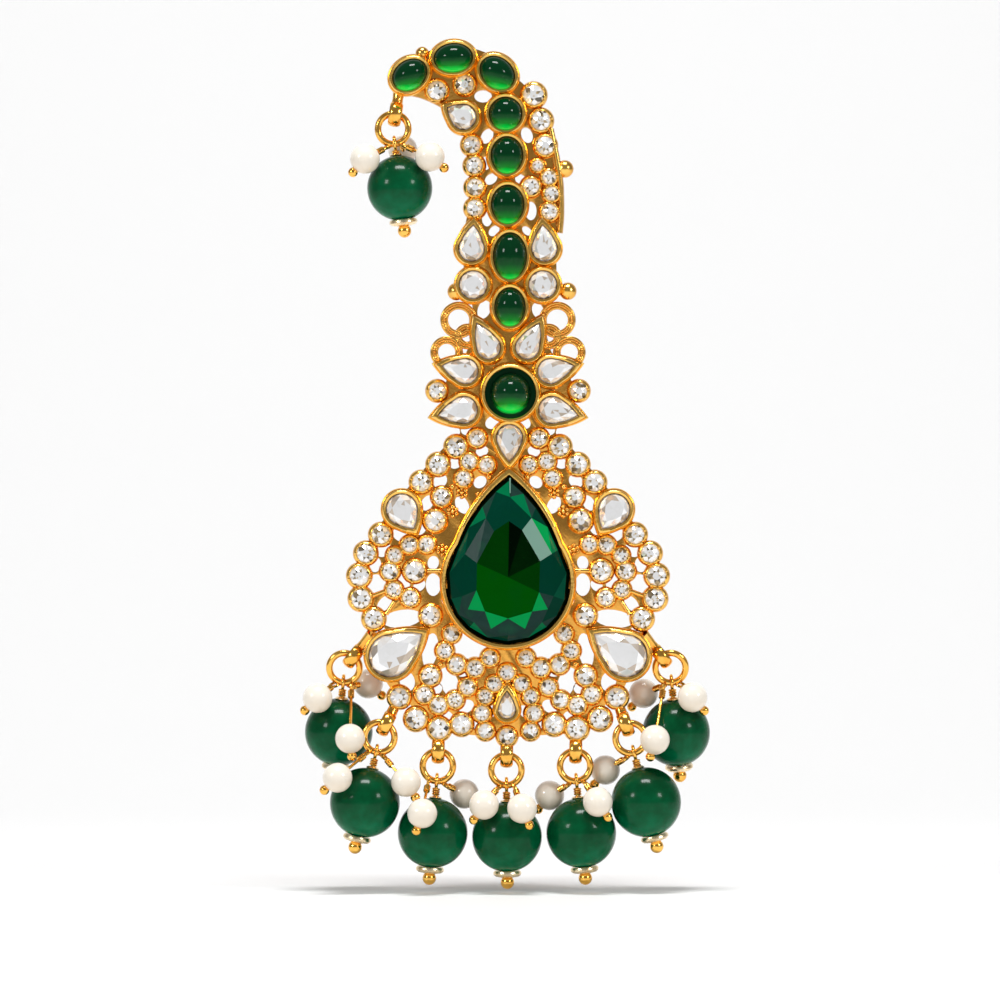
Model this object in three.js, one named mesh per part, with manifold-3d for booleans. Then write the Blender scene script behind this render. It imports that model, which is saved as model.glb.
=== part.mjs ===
// A turban ornament of cast gold-coloured metal: a hooked neck over a drop-shaped body, set with green and
// clear stones, and eight drops of green beads and pearls on jump rings. Millimetres, +Z up, +X to the
// wearer's left, and the stones face -Y. The origin is on the back pin, halfway between its two lugs.
import Module from "manifold-3d";
import * as THREE from "three";
import { mergeVertices } from "three/addons/utils/BufferGeometryUtils.js";

const solids = await Module();
solids.setup();

// Overall height, from the hook's top to the lowest drop's ball.
const OVERALL_HEIGHT = 90;

// The chart is the front view that the places below are measured on. Its unit is a share of the overall
// height.
const CHART = { height: 855, axis: 508, level: 460 };
const UNIT = OVERALL_HEIGHT / CHART.height;

// The cast frame, measured forward from its flat back.
const PLATE_THICKNESS = 1.2;
const SMALL_STONE_TABLE = 2.1;
const SMALL_COLLET_WALL = 0.07;
const SMALL_COLLET_FOOT = 0.4;
const TABLE_SHARE = 0.6;

// Seats of the main stones: the wall round a stone, and the clear space beside and under it.
const SEAT_WALL = 0.32;
const SEAT_CLEARANCE = 0.12;
const SEAT_FLOOR = 0.9;

// The back pin and the lugs that hold it.
const PIN_RADIUS = 0.55;
const PIN_LENGTH = 34;
const PIN_HEAD_RADIUS = 1.1;
const PIN_TO_FRAME = 2.3;
const PIN_CLEARANCE = 0.3;
const LUG_WALL = 0.7;
const LUG_HEIGHT = 2.2;
const LUG_SPACING = 22;

// Jump rings and the cast loops that they hang in.
const RING_RADIUS = 1.6;
const RING_WIRE = 0.36;
const LOOP_RADIUS = 1.02;
const LOOP_WIRE = 0.36;
const LOOP_HALF_WIDTH = 0.7;
const LOOP_STEM_RADIUS = 0.6;
const LOOP_DEPTH = 0.9;

// Beads, pearls and their head pins.
const FRINGE_BEAD_RADIUS = 3.7;
const TIP_BEAD_RADIUS = 3.45;
const BEAD_BORE = 0.42;
const SHANK_RADIUS = 0.24;
const EYE_RADIUS = 0.72;
const EYE_WIRE = 0.19;
const WASHER_RADIUS = 1.5;
const WASHER_THICKNESS = 0.5;
const END_BALL_RADIUS = 0.76;
const PEARL_RADIUS = 1.62;
const PEARL_BALL_RADIUS = 0.6;
const PEARL_PIN_RADIUS = 0.2;
const PEARL_CLEARANCE = 0.2;
const PEARL_LEAST_DEPTH = 2.3;
const PEARL_WIRE_RISE = 2.4;

// How finely round forms are faceted.
const SIDES = {
  smallStone: 8, mainStone: 10, heroStone: 18, bead: 12, pearl: 10, washer: 8, ring: 10, loop: 8,
  eye: 6, wire: 5,
};

const GOLD = { color: 0xd9982b, metalness: 1, roughness: 0.22 };
const GREEN_GLASS = { color: 0x04502a, metalness: 0, roughness: 0.08 };
const GREEN_BEAD = { color: 0x0a5c3c, metalness: 0, roughness: 0.12 };
const CLEAR_STONE = { color: 0xe9eaf0, metalness: 0.2, roughness: 0.05 };

// Makes rows with named columns from a table.
function table(columns, rows) {
  const names = columns.split(" ");
  return rows.map((row) => Object.fromEntries(names.map((name, i) => [name, row[i]])));
}

// The outline of the frame's plate, through the middle of the stones at its rim. Places in chart units.
const PLATE_OUTLINE = table("across down", [
  [396, 70], [414, 56], [452, 44], [492, 54], [516, 76], [536, 96], [548, 122], [553, 160], [556, 200],
  [556, 240], [556, 285], [546, 312], [551, 350], [574, 385], [572, 412], [556, 432], [572, 448], [594, 472],
  [614, 496], [636, 526], [652, 556], [657, 588], [646, 618], [641, 645], [632, 672], [620, 696], [604, 720],
  [575, 733], [540, 736], [508, 738], [475, 736], [438, 732], [412, 720], [395, 696], [380, 672], [371, 645],
  [368, 618], [358, 588], [363, 556], [379, 526], [401, 496], [421, 472], [443, 448], [460, 432], [446, 412],
  [444, 385], [467, 350], [473, 312], [465, 280], [463, 240], [469, 200], [468, 160], [462, 130], [446, 110],
  [424, 98], [400, 90],
]);

// Gaps cut through the plate: centre, length, width and turn in degrees. The second table is mirrored.
const NECK_GAPS = table("across down long wide turn sides", [
  [483, 95, 12, 9, 0, 5], [487, 135, 11, 8, 60, 4], [527, 134, 12, 8, 110, 5], [486, 162, 10, 6, 90, 4],
  [491, 178, 9, 7, 40, 4], [523, 177, 9, 7, 130, 4], [531, 212, 14, 9, 90, 5], [487, 218, 10, 7, 90, 4],
  [494, 229, 10, 6, 45, 4], [484, 309, 14, 9, 70, 5], [541, 310, 14, 9, 110, 5],
]);
const BODY_GAPS = table("across down long wide turn sides", [
  [493, 422, 11, 8, 30, 4], [467, 430, 9, 7, 0, 4], [482, 451, 9, 7, 20, 4], [456, 462, 11, 8, 45, 4],
  [440, 481, 11, 9, 45, 5], [427, 503, 12, 8, 60, 4], [462, 505, 14, 9, 120, 4], [480, 482, 10, 8, 40, 4],
  [383, 550, 11, 8, 45, 4], [375, 565, 10, 8, 80, 4], [376, 584, 14, 14, 0, 8], [403, 583, 13, 9, 90, 4],
  [383, 604, 13, 8, 50, 4], [433, 563, 10, 8, 80, 4], [433, 585, 16, 10, 90, 5], [402, 619, 30, 13, 8, 7],
  [430, 651, 26, 11, 80, 5], [469, 646, 28, 19, 165, 7], [449, 682, 24, 13, 110, 6],
  [407, 682, 14, 10, 100, 5], [466, 706, 12, 9, 30, 4], [445, 717, 11, 8, 0, 4], [447, 598, 14, 8, 90, 4],
]);

// Small round stones in collets, each place with the stone's radius. The second table is mirrored. The
// ornament's finest stones, which sit between these, are left out.
const NECK_STONES = table("across down radius", [
  [436.7, 89.6, 10], [464.6, 83.5, 9.7], [533.8, 94, 11], [540.9, 119.7, 10.5], [545.4, 144.7, 10],
  [549.7, 211, 8.5], [471.7, 144, 9], [474.2, 164.6, 9], [475, 186.5, 9], [474.9, 207.5, 9],
  [507, 737, 8.7],
]);
const BODY_STONES = table("across down radius", [
  [437, 390.5, 9], [456, 446.5, 10], [438, 464.4, 10], [421, 482.3, 9.8],
  [435, 520.8, 10.5], [380.5, 534.8, 10], [365.5, 553.5, 10], [359, 576, 10.5], [360.5, 599, 10.5],
  [373.5, 619.2, 10], [414.5, 571.2, 10.5], [430.4, 615.8, 10], [430, 676.3, 9.5], [399, 697.7, 10],
  [415.8, 719.5, 10.5], [439, 729.4, 10.5], [461.5, 725, 10], [485.5, 731.6, 8.5],
]);

// Round and oval green cabochons down the neck: half width, half height and turn in degrees.
const NECK_CABOCHONS = table("name across down halfWide halfHigh turn", [
  ["cabochon_hook_tip", 409.7, 74.2, 18.5, 14.5, 35],
  ["cabochon_hook_top", 453.2, 56.3, 19.5, 15, 5],
  ["cabochon_hook_bend", 497.3, 72.3, 19, 15, -40],
  ["cabochon_neck_round", 505.6, 113, 16.5, 16.5, 0],
  ["cabochon_neck_upper", 507, 154.6, 16, 18.6, 0],
  ["cabochon_neck_middle", 507.7, 204, 16.4, 19.5, 0],
  ["cabochon_neck_lower", 510, 255.6, 16.7, 23.4, 0],
  ["cabochon_neck_foot", 510, 306.6, 15.3, 19.4, 0],
]);
const ROSETTE_CABOCHON = { name: "cabochon_rosette", across: 510.5, down: 393, radius: 25 };

// Clear stones, round where the tip is left out. The second table is mirrored, to names that end in _left
// and _right.
const SINGLE_CLEAR_STONES = table("name across down radius tipAcross tipDown", [
  ["clear_pear_hook", 463.5, 116.5, 13, 447, 107],
  ["clear_pear_waist", 509.5, 437.5, 13.5, 509.5, 462],
  ["clear_pear_hem", 507, 710, 9.2, 507, 691],
]);
const PAIRED_CLEAR_STONES = table("name across down radius tipAcross tipDown", [
  ["clear_pear_neck", 471.5, 248.2, 13.2, 473.5, 224],
  ["clear_round_neck", 473.2, 284.5, 14.4],
  ["petal_upper", 488.6, 347, 12.4, 476.5, 322.5],
  ["petal_middle", 465.6, 371, 13, 441.5, 365.5],
  ["petal_lower", 463.8, 409.8, 14, 437.5, 415.5],
  ["clear_pear_shoulder", 401.7, 509.4, 16, 414, 529],
  ["clear_pear_hip", 390, 656, 21.6, 422, 634],
]);

// The big pear at the middle: the stone's widest radius, its tip, and the stone's heights above the plate's
// back.
const HERO_PEAR = { across: 508, down: 582, radius: 62.5, tipAcross: 509, tipDown: 475 };
const HERO_BULGE = 0.075;
const HERO_SEAT_WALL = 0.42;
const HERO_SEAT_TOP = 3.4;
const HERO_GIRDLE = 3;
const HERO_TABLE = 5.4;
const MAIN_SEAT_TOP = 2.5;
const CLEAR_GIRDLE = 2.2;
const CLEAR_TABLE = 3.1;
const CABOCHON_GIRDLE = 2.2;
const CABOCHON_CROWN = 4;
const ROSETTE_SEAT_TOP = 3;
const ROSETTE_CROWN = 5.4;

// Open cast loops beside the petals, mirrored: centre and outer radius, with the band's width and thickness.
const SCROLLS = table("across down radius", [[457, 319.5, 18], [445.5, 352, 16]]);
const SCROLL_BAND = 0.8;
const SCROLL_THICKNESS = 1.5;

// Ball studs that stand on the frame, and the low rail along the neck's right edge.
const STUDS = table("across down radius", [[565, 167.8, 9], [566, 290.5, 9], [454, 291, 9], [422, 52, 7]]);
const NECK_RAIL = table("across down", [
  [548, 126], [553, 126], [558, 155], [563, 178], [564, 222], [560, 240], [554, 240], [554, 180],
]);
const NECK_RAIL_THICKNESS = 2;

// The drops: ring centre, bead centre, the point of the frame that the cast loop grows from, how far in
// millimetres the loop stands forward of the middle of the frame's edge, and how far the drop leans back,
// in degrees.
const DROPS = table("name ringAcross ringDown beadAcross beadDown rootAcross rootDown forward leanBack", [
  ["tip", 392.8, 127.7, 399.4, 187, 399, 88, 0, 0],
  ["fringe_1", 343.5, 669, 337.5, 735, 372, 634, -1.5, 10],
  ["fringe_2", 379, 738, 364.5, 803.5, 398, 700, 0.3, 0],
  ["fringe_3", 437.6, 767, 432.5, 834, 438.5, 729, 0, 0],
  ["fringe_4", 506.4, 771, 507, 838, 507, 737, 0, 0],
  ["fringe_5", 575.4, 767, 581.5, 834, 576.5, 729, 0, 0],
  ["fringe_6", 631, 739, 646.5, 803, 617, 700, 0.3, 0],
  ["fringe_7", 671.5, 669, 677.5, 735.5, 643, 634, -1.5, 10],
]);

// The pearls round each bead's top: place, and 1 in front of the bead or -1 behind it.
const PEARLS = table("drop across down side", [
  ["tip", 365, 159, 1], ["tip", 430, 157, 1], ["tip", 402, 147, -1],
  ["fringe_1", 317, 695, 1], ["fringe_1", 348.5, 730, 1], ["fringe_1", 367, 690, -1],
  ["fringe_2", 338, 776.8, 1], ["fringe_2", 406, 781.8, 1],
  ["fringe_3", 422.6, 812, 1], ["fringe_3", 464, 796, -1],
  ["fringe_4", 484, 804.2, 1], ["fringe_4", 522, 807.5, 1],
  ["fringe_5", 597.5, 801, 1], ["fringe_5", 550, 797.5, -1],
  ["fringe_6", 606, 771.8, -1],
  ["fringe_7", 693, 694, 1], ["fringe_7", 655, 733, 1], ["fringe_7", 645, 700, -1],
]);

// Turns a place on the chart into millimetres across and up.
function onChart(across, down) {
  return new THREE.Vector2((across - CHART.axis) * UNIT, (CHART.level - down) * UNIT);
}

// Copies a row to the other side of the chart's axis.
function mirrored(row) {
  const copy = { ...row, across: 2 * CHART.axis - row.across };
  if (row.tipAcross !== undefined) copy.tipAcross = 2 * CHART.axis - row.tipAcross;
  if (row.turn !== undefined) copy.turn = 180 - row.turn;
  return copy;
}

// Gives the rows and their mirror images.
function bothSides(rows) {
  return [...rows, ...rows.map(mirrored)];
}

// Welds a geometry's shared vertices, drops collapsed triangles and makes a solid of it.
function toSolid(geometry) {
  const bare = geometry.clone();
  bare.deleteAttribute("normal");
  bare.deleteAttribute("uv");
  const welded = mergeVertices(bare, 1e-5);
  const triangles = [];
  for (let i = 0; i < welded.index.count; i += 3) {
    const corners = [0, 1, 2].map((k) => welded.index.getX(i + k));
    if (new Set(corners).size === 3) triangles.push(...corners);
  }
  return new solids.Manifold(new solids.Mesh({
    numProp: 3,
    vertProperties: Float32Array.from(welded.attributes.position.array),
    triVerts: Uint32Array.from(triangles),
  }));
}

// Turns a solid back into a geometry.
function toGeometry(solid) {
  const mesh = solid.getMesh();
  const geometry = new THREE.BufferGeometry();
  geometry.setAttribute("position", new THREE.BufferAttribute(mesh.vertProperties, 3));
  geometry.setIndex(new THREE.BufferAttribute(mesh.triVerts, 1));
  geometry.computeVertexNormals();
  return geometry;
}

// Joins geometries into one solid.
function joined(geometries) {
  return geometries.map(toSolid).reduce((whole, next) => whole.add(next));
}

// Stands a geometry drawn across, up and forward onto the frame's back face.
function ontoFrame(geometry) {
  return geometry.rotateX(Math.PI / 2).translate(0, -PIN_TO_FRAME, 0);
}

// A block with one outline, from one depth to another.
function prism(outline, back, front) {
  const shape = new THREE.Shape(outline);
  const geometry = new THREE.ExtrudeGeometry(shape, { depth: front - back, bevelEnabled: false });
  return ontoFrame(geometry.translate(0, 0, back));
}

// A closed body through outlines with equal numbers of points, each at its own depth.
function loft(levels) {
  const count = levels[0].outline.length;
  const positions = levels.flatMap(({ outline, depth }) => outline.flatMap((p) => [p.x, p.y, depth]));
  const triangles = [];
  for (let level = 0; level < levels.length - 1; level += 1) {
    for (let i = 0; i < count; i += 1) {
      const here = level * count + i;
      const beside = level * count + ((i + 1) % count);
      triangles.push(here, beside, beside + count, here, beside + count, here + count);
    }
  }
  const last = (levels.length - 1) * count;
  for (let i = 1; i < count - 1; i += 1) {
    triangles.push(0, i + 1, i, last, last + i, last + i + 1);
  }
  const geometry = new THREE.BufferGeometry();
  geometry.setAttribute("position", new THREE.Float32BufferAttribute(positions, 3));
  geometry.setIndex(triangles);
  return ontoFrame(geometry);
}

// An ellipse with straight sides, turned by degrees.
function ellipseOutline(centre, halfWide, halfHigh, sides, turn = 0) {
  const points = [];
  for (let i = 0; i < sides; i += 1) {
    const angle = ((i + 0.5) / sides) * 2 * Math.PI;
    const point = new THREE.Vector2(halfWide * Math.cos(angle), halfHigh * Math.sin(angle));
    points.push(point.rotateAround(new THREE.Vector2(), THREE.MathUtils.degToRad(turn)).add(centre));
  }
  return points;
}

// A pear: a circle with two sides that meet in a tip. A bulge above 0 makes the sides full.
function pearOutline(centre, radius, tip, sides, grow, bulge = 0) {
  const share = (radius + grow) / radius;
  const toTip = tip.clone().sub(centre);
  const reach = toTip.length() * share;
  const tipAngle = toTip.angle();
  const touch = Math.acos((radius * share) / reach);
  const onSide = bulge > 0 ? 2 : 0;
  const onArc = sides - 1 - 2 * onSide;
  const at = (angle, length) => new THREE.Vector2(Math.cos(angle), Math.sin(angle)).multiplyScalar(length);
  const arc = [];
  for (let i = 0; i < onArc; i += 1) {
    const angle = tipAngle + touch + (i / (onArc - 1)) * 2 * (Math.PI - touch);
    arc.push(at(angle, radius * share));
  }
  const point = at(tipAngle, reach);
  const side = (from, to) => {
    const along = to.clone().sub(from);
    const out = new THREE.Vector2(along.y, -along.x);
    return Array.from({ length: onSide }, (_, i) => {
      const s = (i + 1) / (onSide + 1);
      return from.clone().addScaledVector(along, s).addScaledVector(out, 4 * bulge * s * (1 - s));
    });
  };
  const outline = [point, ...side(point, arc[0]), ...arc, ...side(arc[arc.length - 1], point)];
  return outline.map((p) => p.add(centre));
}

// The outline of a main stone, grown all round by some millimetres.
function stoneOutline(row, grow = 0) {
  const centre = onChart(row.across, row.down);
  if (row.tipAcross !== undefined) {
    const bulge = row === HERO_PEAR ? HERO_BULGE : 0;
    const sides = row === HERO_PEAR ? SIDES.heroStone : SIDES.mainStone;
    return pearOutline(centre, row.radius * UNIT, onChart(row.tipAcross, row.tipDown), sides, grow, bulge);
  }
  const halfWide = (row.halfWide ?? row.radius) * UNIT + grow;
  const halfHigh = (row.halfHigh ?? row.radius) * UNIT + grow;
  return ellipseOutline(centre, halfWide, halfHigh, SIDES.mainStone, row.turn);
}

// An outline drawn in towards a centre, to a share of its size.
function shrunk(outline, centre, share) {
  return outline.map((p) => centre.clone().lerp(p, share));
}

// A flat-backed cut stone: a girdle wall, a row of facets and a table.
function cutStone(row, girdle, top, tableShare) {
  const outline = stoneOutline(row);
  const centre = onChart(row.across, row.down);
  const base = SEAT_FLOOR + SEAT_CLEARANCE;
  return loft([
    { outline: shrunk(outline, centre, 0.9), depth: base },
    { outline, depth: girdle },
    { outline: shrunk(outline, centre, tableShare), depth: top },
  ]);
}

// The big pear: two rows of facets below the table.
function heroStone() {
  const outline = stoneOutline(HERO_PEAR);
  const centre = onChart(HERO_PEAR.across, HERO_PEAR.down);
  return loft([
    { outline: shrunk(outline, centre, 0.8), depth: SEAT_FLOOR + SEAT_CLEARANCE },
    { outline, depth: HERO_GIRDLE },
    { outline: shrunk(outline, centre, 0.86), depth: HERO_GIRDLE + 0.65 * (HERO_TABLE - HERO_GIRDLE) },
    { outline: shrunk(outline, centre, 0.64), depth: HERO_TABLE },
  ]);
}

// A cabochon: a girdle wall under a round dome.
function cabochon(row, girdle, crown) {
  const outline = stoneOutline(row);
  const centre = onChart(row.across, row.down);
  const domeLevel = (angle) => ({
    outline: shrunk(outline, centre, Math.cos(angle)),
    depth: girdle + (crown - girdle) * Math.sin(angle),
  });
  return loft([
    { outline, depth: SEAT_FLOOR + SEAT_CLEARANCE },
    ...[0, 0.6, 1.2].map(domeLevel),
  ]);
}

// The seat of a main stone: a cup with its wall round the stone.
function seatWall(row, top, wall = SEAT_WALL) {
  return prism(stoneOutline(row, SEAT_CLEARANCE + wall), SMALL_COLLET_FOOT, top);
}
function seatHollow(row) {
  return prism(stoneOutline(row, SEAT_CLEARANCE), SEAT_FLOOR, OVERALL_HEIGHT);
}

// A small stone and its collet in one: eight facets and a table.
function smallStone(row) {
  const centre = onChart(row.across, row.down);
  const radius = row.radius * UNIT + SMALL_COLLET_WALL;
  const outline = ellipseOutline(centre, radius, radius, SIDES.smallStone);
  return loft([
    { outline, depth: SMALL_COLLET_FOOT },
    { outline: shrunk(outline, centre, TABLE_SHARE), depth: SMALL_STONE_TABLE },
  ]);
}

// A straight round bar between two points, its ends closed.
function bar(from, to, radius, sides) {
  const along = to.clone().sub(from);
  const geometry = new THREE.CylinderGeometry(radius, radius, along.length(), sides);
  const upright = new THREE.Vector3(0, 1, 0);
  const turn = new THREE.Quaternion().setFromUnitVectors(upright, along.clone().normalize());
  return geometry.applyQuaternion(turn).translate(...from.clone().lerp(to, 0.5).toArray());
}

// A ring of round wire in the plane across the view.
function wireRing(radius, wireRadius, sides, segments) {
  return new THREE.TorusGeometry(radius, wireRadius, sides, segments).rotateX(Math.PI / 2);
}

// The middle of the cast loops' depth, and the depth at which their stems leave the plate.
const EDGE_Y = -PIN_TO_FRAME - LOOP_DEPTH;
const STEM_ROOT_Y = -PIN_TO_FRAME - PLATE_THICKNESS / 2;

// A drop's ring centre, and the middle of the cast loop that the ring's wire runs through.
function ringCentre(drop) {
  const place = onChart(drop.ringAcross, drop.ringDown);
  return new THREE.Vector3(place.x, EDGE_Y - drop.forward, place.y);
}
function loopDirection(drop) {
  const root = onChart(drop.rootAcross, drop.rootDown);
  const toRoot = root.sub(onChart(drop.ringAcross, drop.ringDown)).normalize();
  return new THREE.Vector3(toRoot.x, 0, toRoot.y);
}
function loopMiddle(drop) {
  return ringCentre(drop).addScaledVector(loopDirection(drop), RING_RADIUS);
}

// The cast loop that carries a drop: it stands round the ring's wire, on a stem from the frame.
function castLoop(drop) {
  const up = loopDirection(drop);
  const middle = loopMiddle(drop);
  const crown = middle.clone().addScaledVector(up, LOOP_RADIUS);
  const rootPlace = onChart(drop.rootAcross, drop.rootDown);
  const root = new THREE.Vector3(rootPlace.x, STEM_ROOT_Y, rootPlace.y);
  const turn = new THREE.Quaternion().setFromUnitVectors(new THREE.Vector3(0, 0, 1), up);
  const loop = new THREE.TorusGeometry(LOOP_RADIUS, LOOP_WIRE, SIDES.wire, SIDES.loop)
    .scale(1, 1, LOOP_HALF_WIDTH / LOOP_WIRE)
    .rotateY(Math.PI / 2)
    .applyQuaternion(turn)
    .translate(...middle.toArray());
  return [loop, bar(crown, root, LOOP_STEM_RADIUS, SIDES.wire)];
}

// The lugs on the frame's back, each with a hole for the pin.
function pinLugs() {
  const width = 2 * (PIN_RADIUS + PIN_CLEARANCE + LUG_WALL);
  const back = PIN_RADIUS + PIN_CLEARANCE + LUG_WALL;
  const lug = (z) => new THREE.BoxGeometry(width, PIN_TO_FRAME + back, LUG_HEIGHT)
    .translate(0, (back - PIN_TO_FRAME) / 2, z);
  const hole = (z) => new THREE.CylinderGeometry(
    PIN_RADIUS + PIN_CLEARANCE, PIN_RADIUS + PIN_CLEARANCE, LUG_HEIGHT * 2, SIDES.bead)
    .rotateX(Math.PI / 2).translate(0, 0, z);
  const heights = [-LUG_SPACING / 2, LUG_SPACING / 2];
  return { lugs: heights.map(lug), holes: heights.map(hole) };
}

// The plain back pin: a straight wire with a round head and a point.
function backPin() {
  const top = PIN_LENGTH / 2;
  const profile = [
    [0, -top], [PIN_RADIUS, -top + 4 * PIN_RADIUS], [PIN_RADIUS, top - PIN_HEAD_RADIUS],
    [PIN_HEAD_RADIUS, top - PIN_HEAD_RADIUS * 0.6], [PIN_HEAD_RADIUS, top + PIN_HEAD_RADIUS * 0.6],
    [0, top + PIN_HEAD_RADIUS],
  ];
  const points = profile.map(([r, y]) => new THREE.Vector2(r, y));
  return toSolid(new THREE.LatheGeometry(points, SIDES.smallStone).rotateX(Math.PI / 2));
}

const SINGLE_SEATS = [...NECK_CABOCHONS, ...SINGLE_CLEAR_STONES];
const PAIRED_SEATS = bothSides(PAIRED_CLEAR_STONES);

// The cast frame with its small stones fused in: plate, gaps, collets, seats, scrolls, studs, loops and lugs.
function castFrame() {
  const rim = new THREE.CatmullRomCurve3(PLATE_OUTLINE.map(({ across, down }) => {
    const p = onChart(across, down);
    return new THREE.Vector3(p.x, p.y, 0);
  }), true);
  const outline = rim.getPoints(PLATE_OUTLINE.length).map((p) => new THREE.Vector2(p.x, p.y));
  outline.pop();
  const gaps = [...NECK_GAPS, ...bothSides(BODY_GAPS)].map((gap) => {
    const halves = [gap.long * UNIT / 2, gap.wide * UNIT / 2];
    const hole = ellipseOutline(onChart(gap.across, gap.down), ...halves, gap.sides, gap.turn);
    return prism(hole, -1, PLATE_THICKNESS + 1);
  });
  const plate = toSolid(prism(outline, 0, PLATE_THICKNESS)).subtract(joined(gaps));
  const scroll = ({ across, down, radius }) => {
    const centre = onChart(across, down);
    const outer = radius * UNIT;
    const ring = prism(ellipseOutline(centre, outer, outer, SIDES.ring), 0.2, SCROLL_THICKNESS);
    const inner = outer - SCROLL_BAND;
    return toSolid(ring).subtract(toSolid(prism(ellipseOutline(centre, inner, inner, SIDES.ring), -1, 9)));
  };
  const stud = ({ across, down, radius }) => {
    const place = onChart(across, down);
    return new THREE.SphereGeometry(radius * UNIT, SIDES.smallStone, 4)
      .translate(place.x, EDGE_Y, place.y);
  };
  const railOutline = NECK_RAIL.map(({ across, down }) => onChart(across, down)).reverse();
  const rail = prism(railOutline, 0, NECK_RAIL_THICKNESS);
  const seats = [...SINGLE_SEATS, ...PAIRED_SEATS].map((row) => seatWall(row, MAIN_SEAT_TOP));
  const { lugs, holes } = pinLugs();
  let frame = plate;
  for (const row of bothSides(SCROLLS)) frame = frame.add(scroll(row));
  frame = frame.add(joined([
    ...[...NECK_STONES, ...bothSides(BODY_STONES)].map(smallStone),
    ...seats,
    seatWall(ROSETTE_CABOCHON, ROSETTE_SEAT_TOP),
    seatWall(HERO_PEAR, HERO_SEAT_TOP, HERO_SEAT_WALL),
    ...STUDS.map(stud),
    rail,
    ...lugs,
    ...DROPS.flatMap(castLoop),
  ]));
  const hollows = [...SINGLE_SEATS, ...PAIRED_SEATS, ROSETTE_CABOCHON, HERO_PEAR].map(seatHollow);
  return frame.subtract(joined([...hollows, ...holes]));
}

// A node of the ornament: a named mesh with its own material.
function node(name, solid, look) {
  const mesh = new THREE.Mesh(toGeometry(solid), new THREE.MeshStandardMaterial(look));
  mesh.name = name;
  return mesh;
}

// A round bead with a bore, its axis upright.
function bead(radius) {
  const profile = [];
  const start = Math.asin(BEAD_BORE / radius);
  const steps = SIDES.bead / 2 - 1;
  for (let i = 0; i <= steps; i += 1) {
    const angle = start + (i / steps) * (Math.PI - 2 * start);
    profile.push(new THREE.Vector2(radius * Math.sin(angle), -radius * Math.cos(angle)));
  }
  profile.push(profile[0].clone());
  return new THREE.LatheGeometry(profile, SIDES.bead).rotateX(Math.PI / 2);
}

// The pearls of one drop in the drop's own frame, each deep enough to lie clear of the bead.
function pearlPlaces(drop, beadCentre, beadRadius, turn) {
  const ring = onChart(drop.ringAcross, drop.ringDown);
  const reach = beadRadius + PEARL_RADIUS + PEARL_CLEARANCE;
  return PEARLS.filter((pearl) => pearl.drop === drop.name).map((pearl) => {
    const flat = onChart(pearl.across, pearl.down).sub(ring).rotateAround(new THREE.Vector2(), turn);
    const offset = flat.distanceTo(new THREE.Vector2(0, beadCentre.z));
    const depth = Math.sqrt(Math.max(reach * reach - offset * offset, 0));
    return new THREE.Vector3(flat.x, -pearl.side * Math.max(depth, PEARL_LEAST_DEPTH), flat.y);
  });
}

// The head pin with its eye, washer and end ball, and the pearls wired under the eye.
function pearlSpray(drop, beadCentre, beadRadius, turn) {
  const eyeCentre = new THREE.Vector3(0, 0, -RING_RADIUS);
  const hub = new THREE.Vector3(0, 0, -RING_RADIUS - EYE_RADIUS);
  const washerTop = beadCentre.z - beadRadius - 0.08;
  const washerBase = washerTop - WASHER_THICKNESS;
  const ballCentre = new THREE.Vector3(0, 0, washerBase - END_BALL_RADIUS * 0.8);
  const pieces = [
    wireRing(EYE_RADIUS, EYE_WIRE, SIDES.wire, SIDES.eye)
      .rotateZ(Math.PI / 2)
      .translate(...eyeCentre.toArray()),
    bar(hub, ballCentre, SHANK_RADIUS, SIDES.wire),
    bar(new THREE.Vector3(0, 0, washerTop), new THREE.Vector3(0, 0, washerBase), WASHER_RADIUS, SIDES.washer),
    new THREE.IcosahedronGeometry(END_BALL_RADIUS, 0).translate(...ballCentre.toArray()),
  ];
  for (const place of pearlPlaces(drop, beadCentre, beadRadius, turn)) {
    const outward = new THREE.Vector3(place.x, 0, place.z).normalize();
    const ball = place.clone().addScaledVector(outward, PEARL_RADIUS + PEARL_BALL_RADIUS * 0.6);
    if (hub.z - place.z > PEARL_WIRE_RISE) {
      const knee = place.clone().add(new THREE.Vector3(0, 0, PEARL_WIRE_RISE));
      pieces.push(
        bar(hub, knee, PEARL_PIN_RADIUS, SIDES.wire - 1),
        bar(knee, place, PEARL_PIN_RADIUS, SIDES.wire - 1),
      );
    } else {
      pieces.push(bar(hub, place, PEARL_PIN_RADIUS, SIDES.wire - 1));
    }
    pieces.push(
      new THREE.SphereGeometry(PEARL_RADIUS, SIDES.pearl, 4).translate(...place.toArray()),
      new THREE.IcosahedronGeometry(PEARL_BALL_RADIUS, 0).translate(...ball.toArray()),
    );
  }
  return joined(pieces);
}

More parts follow.
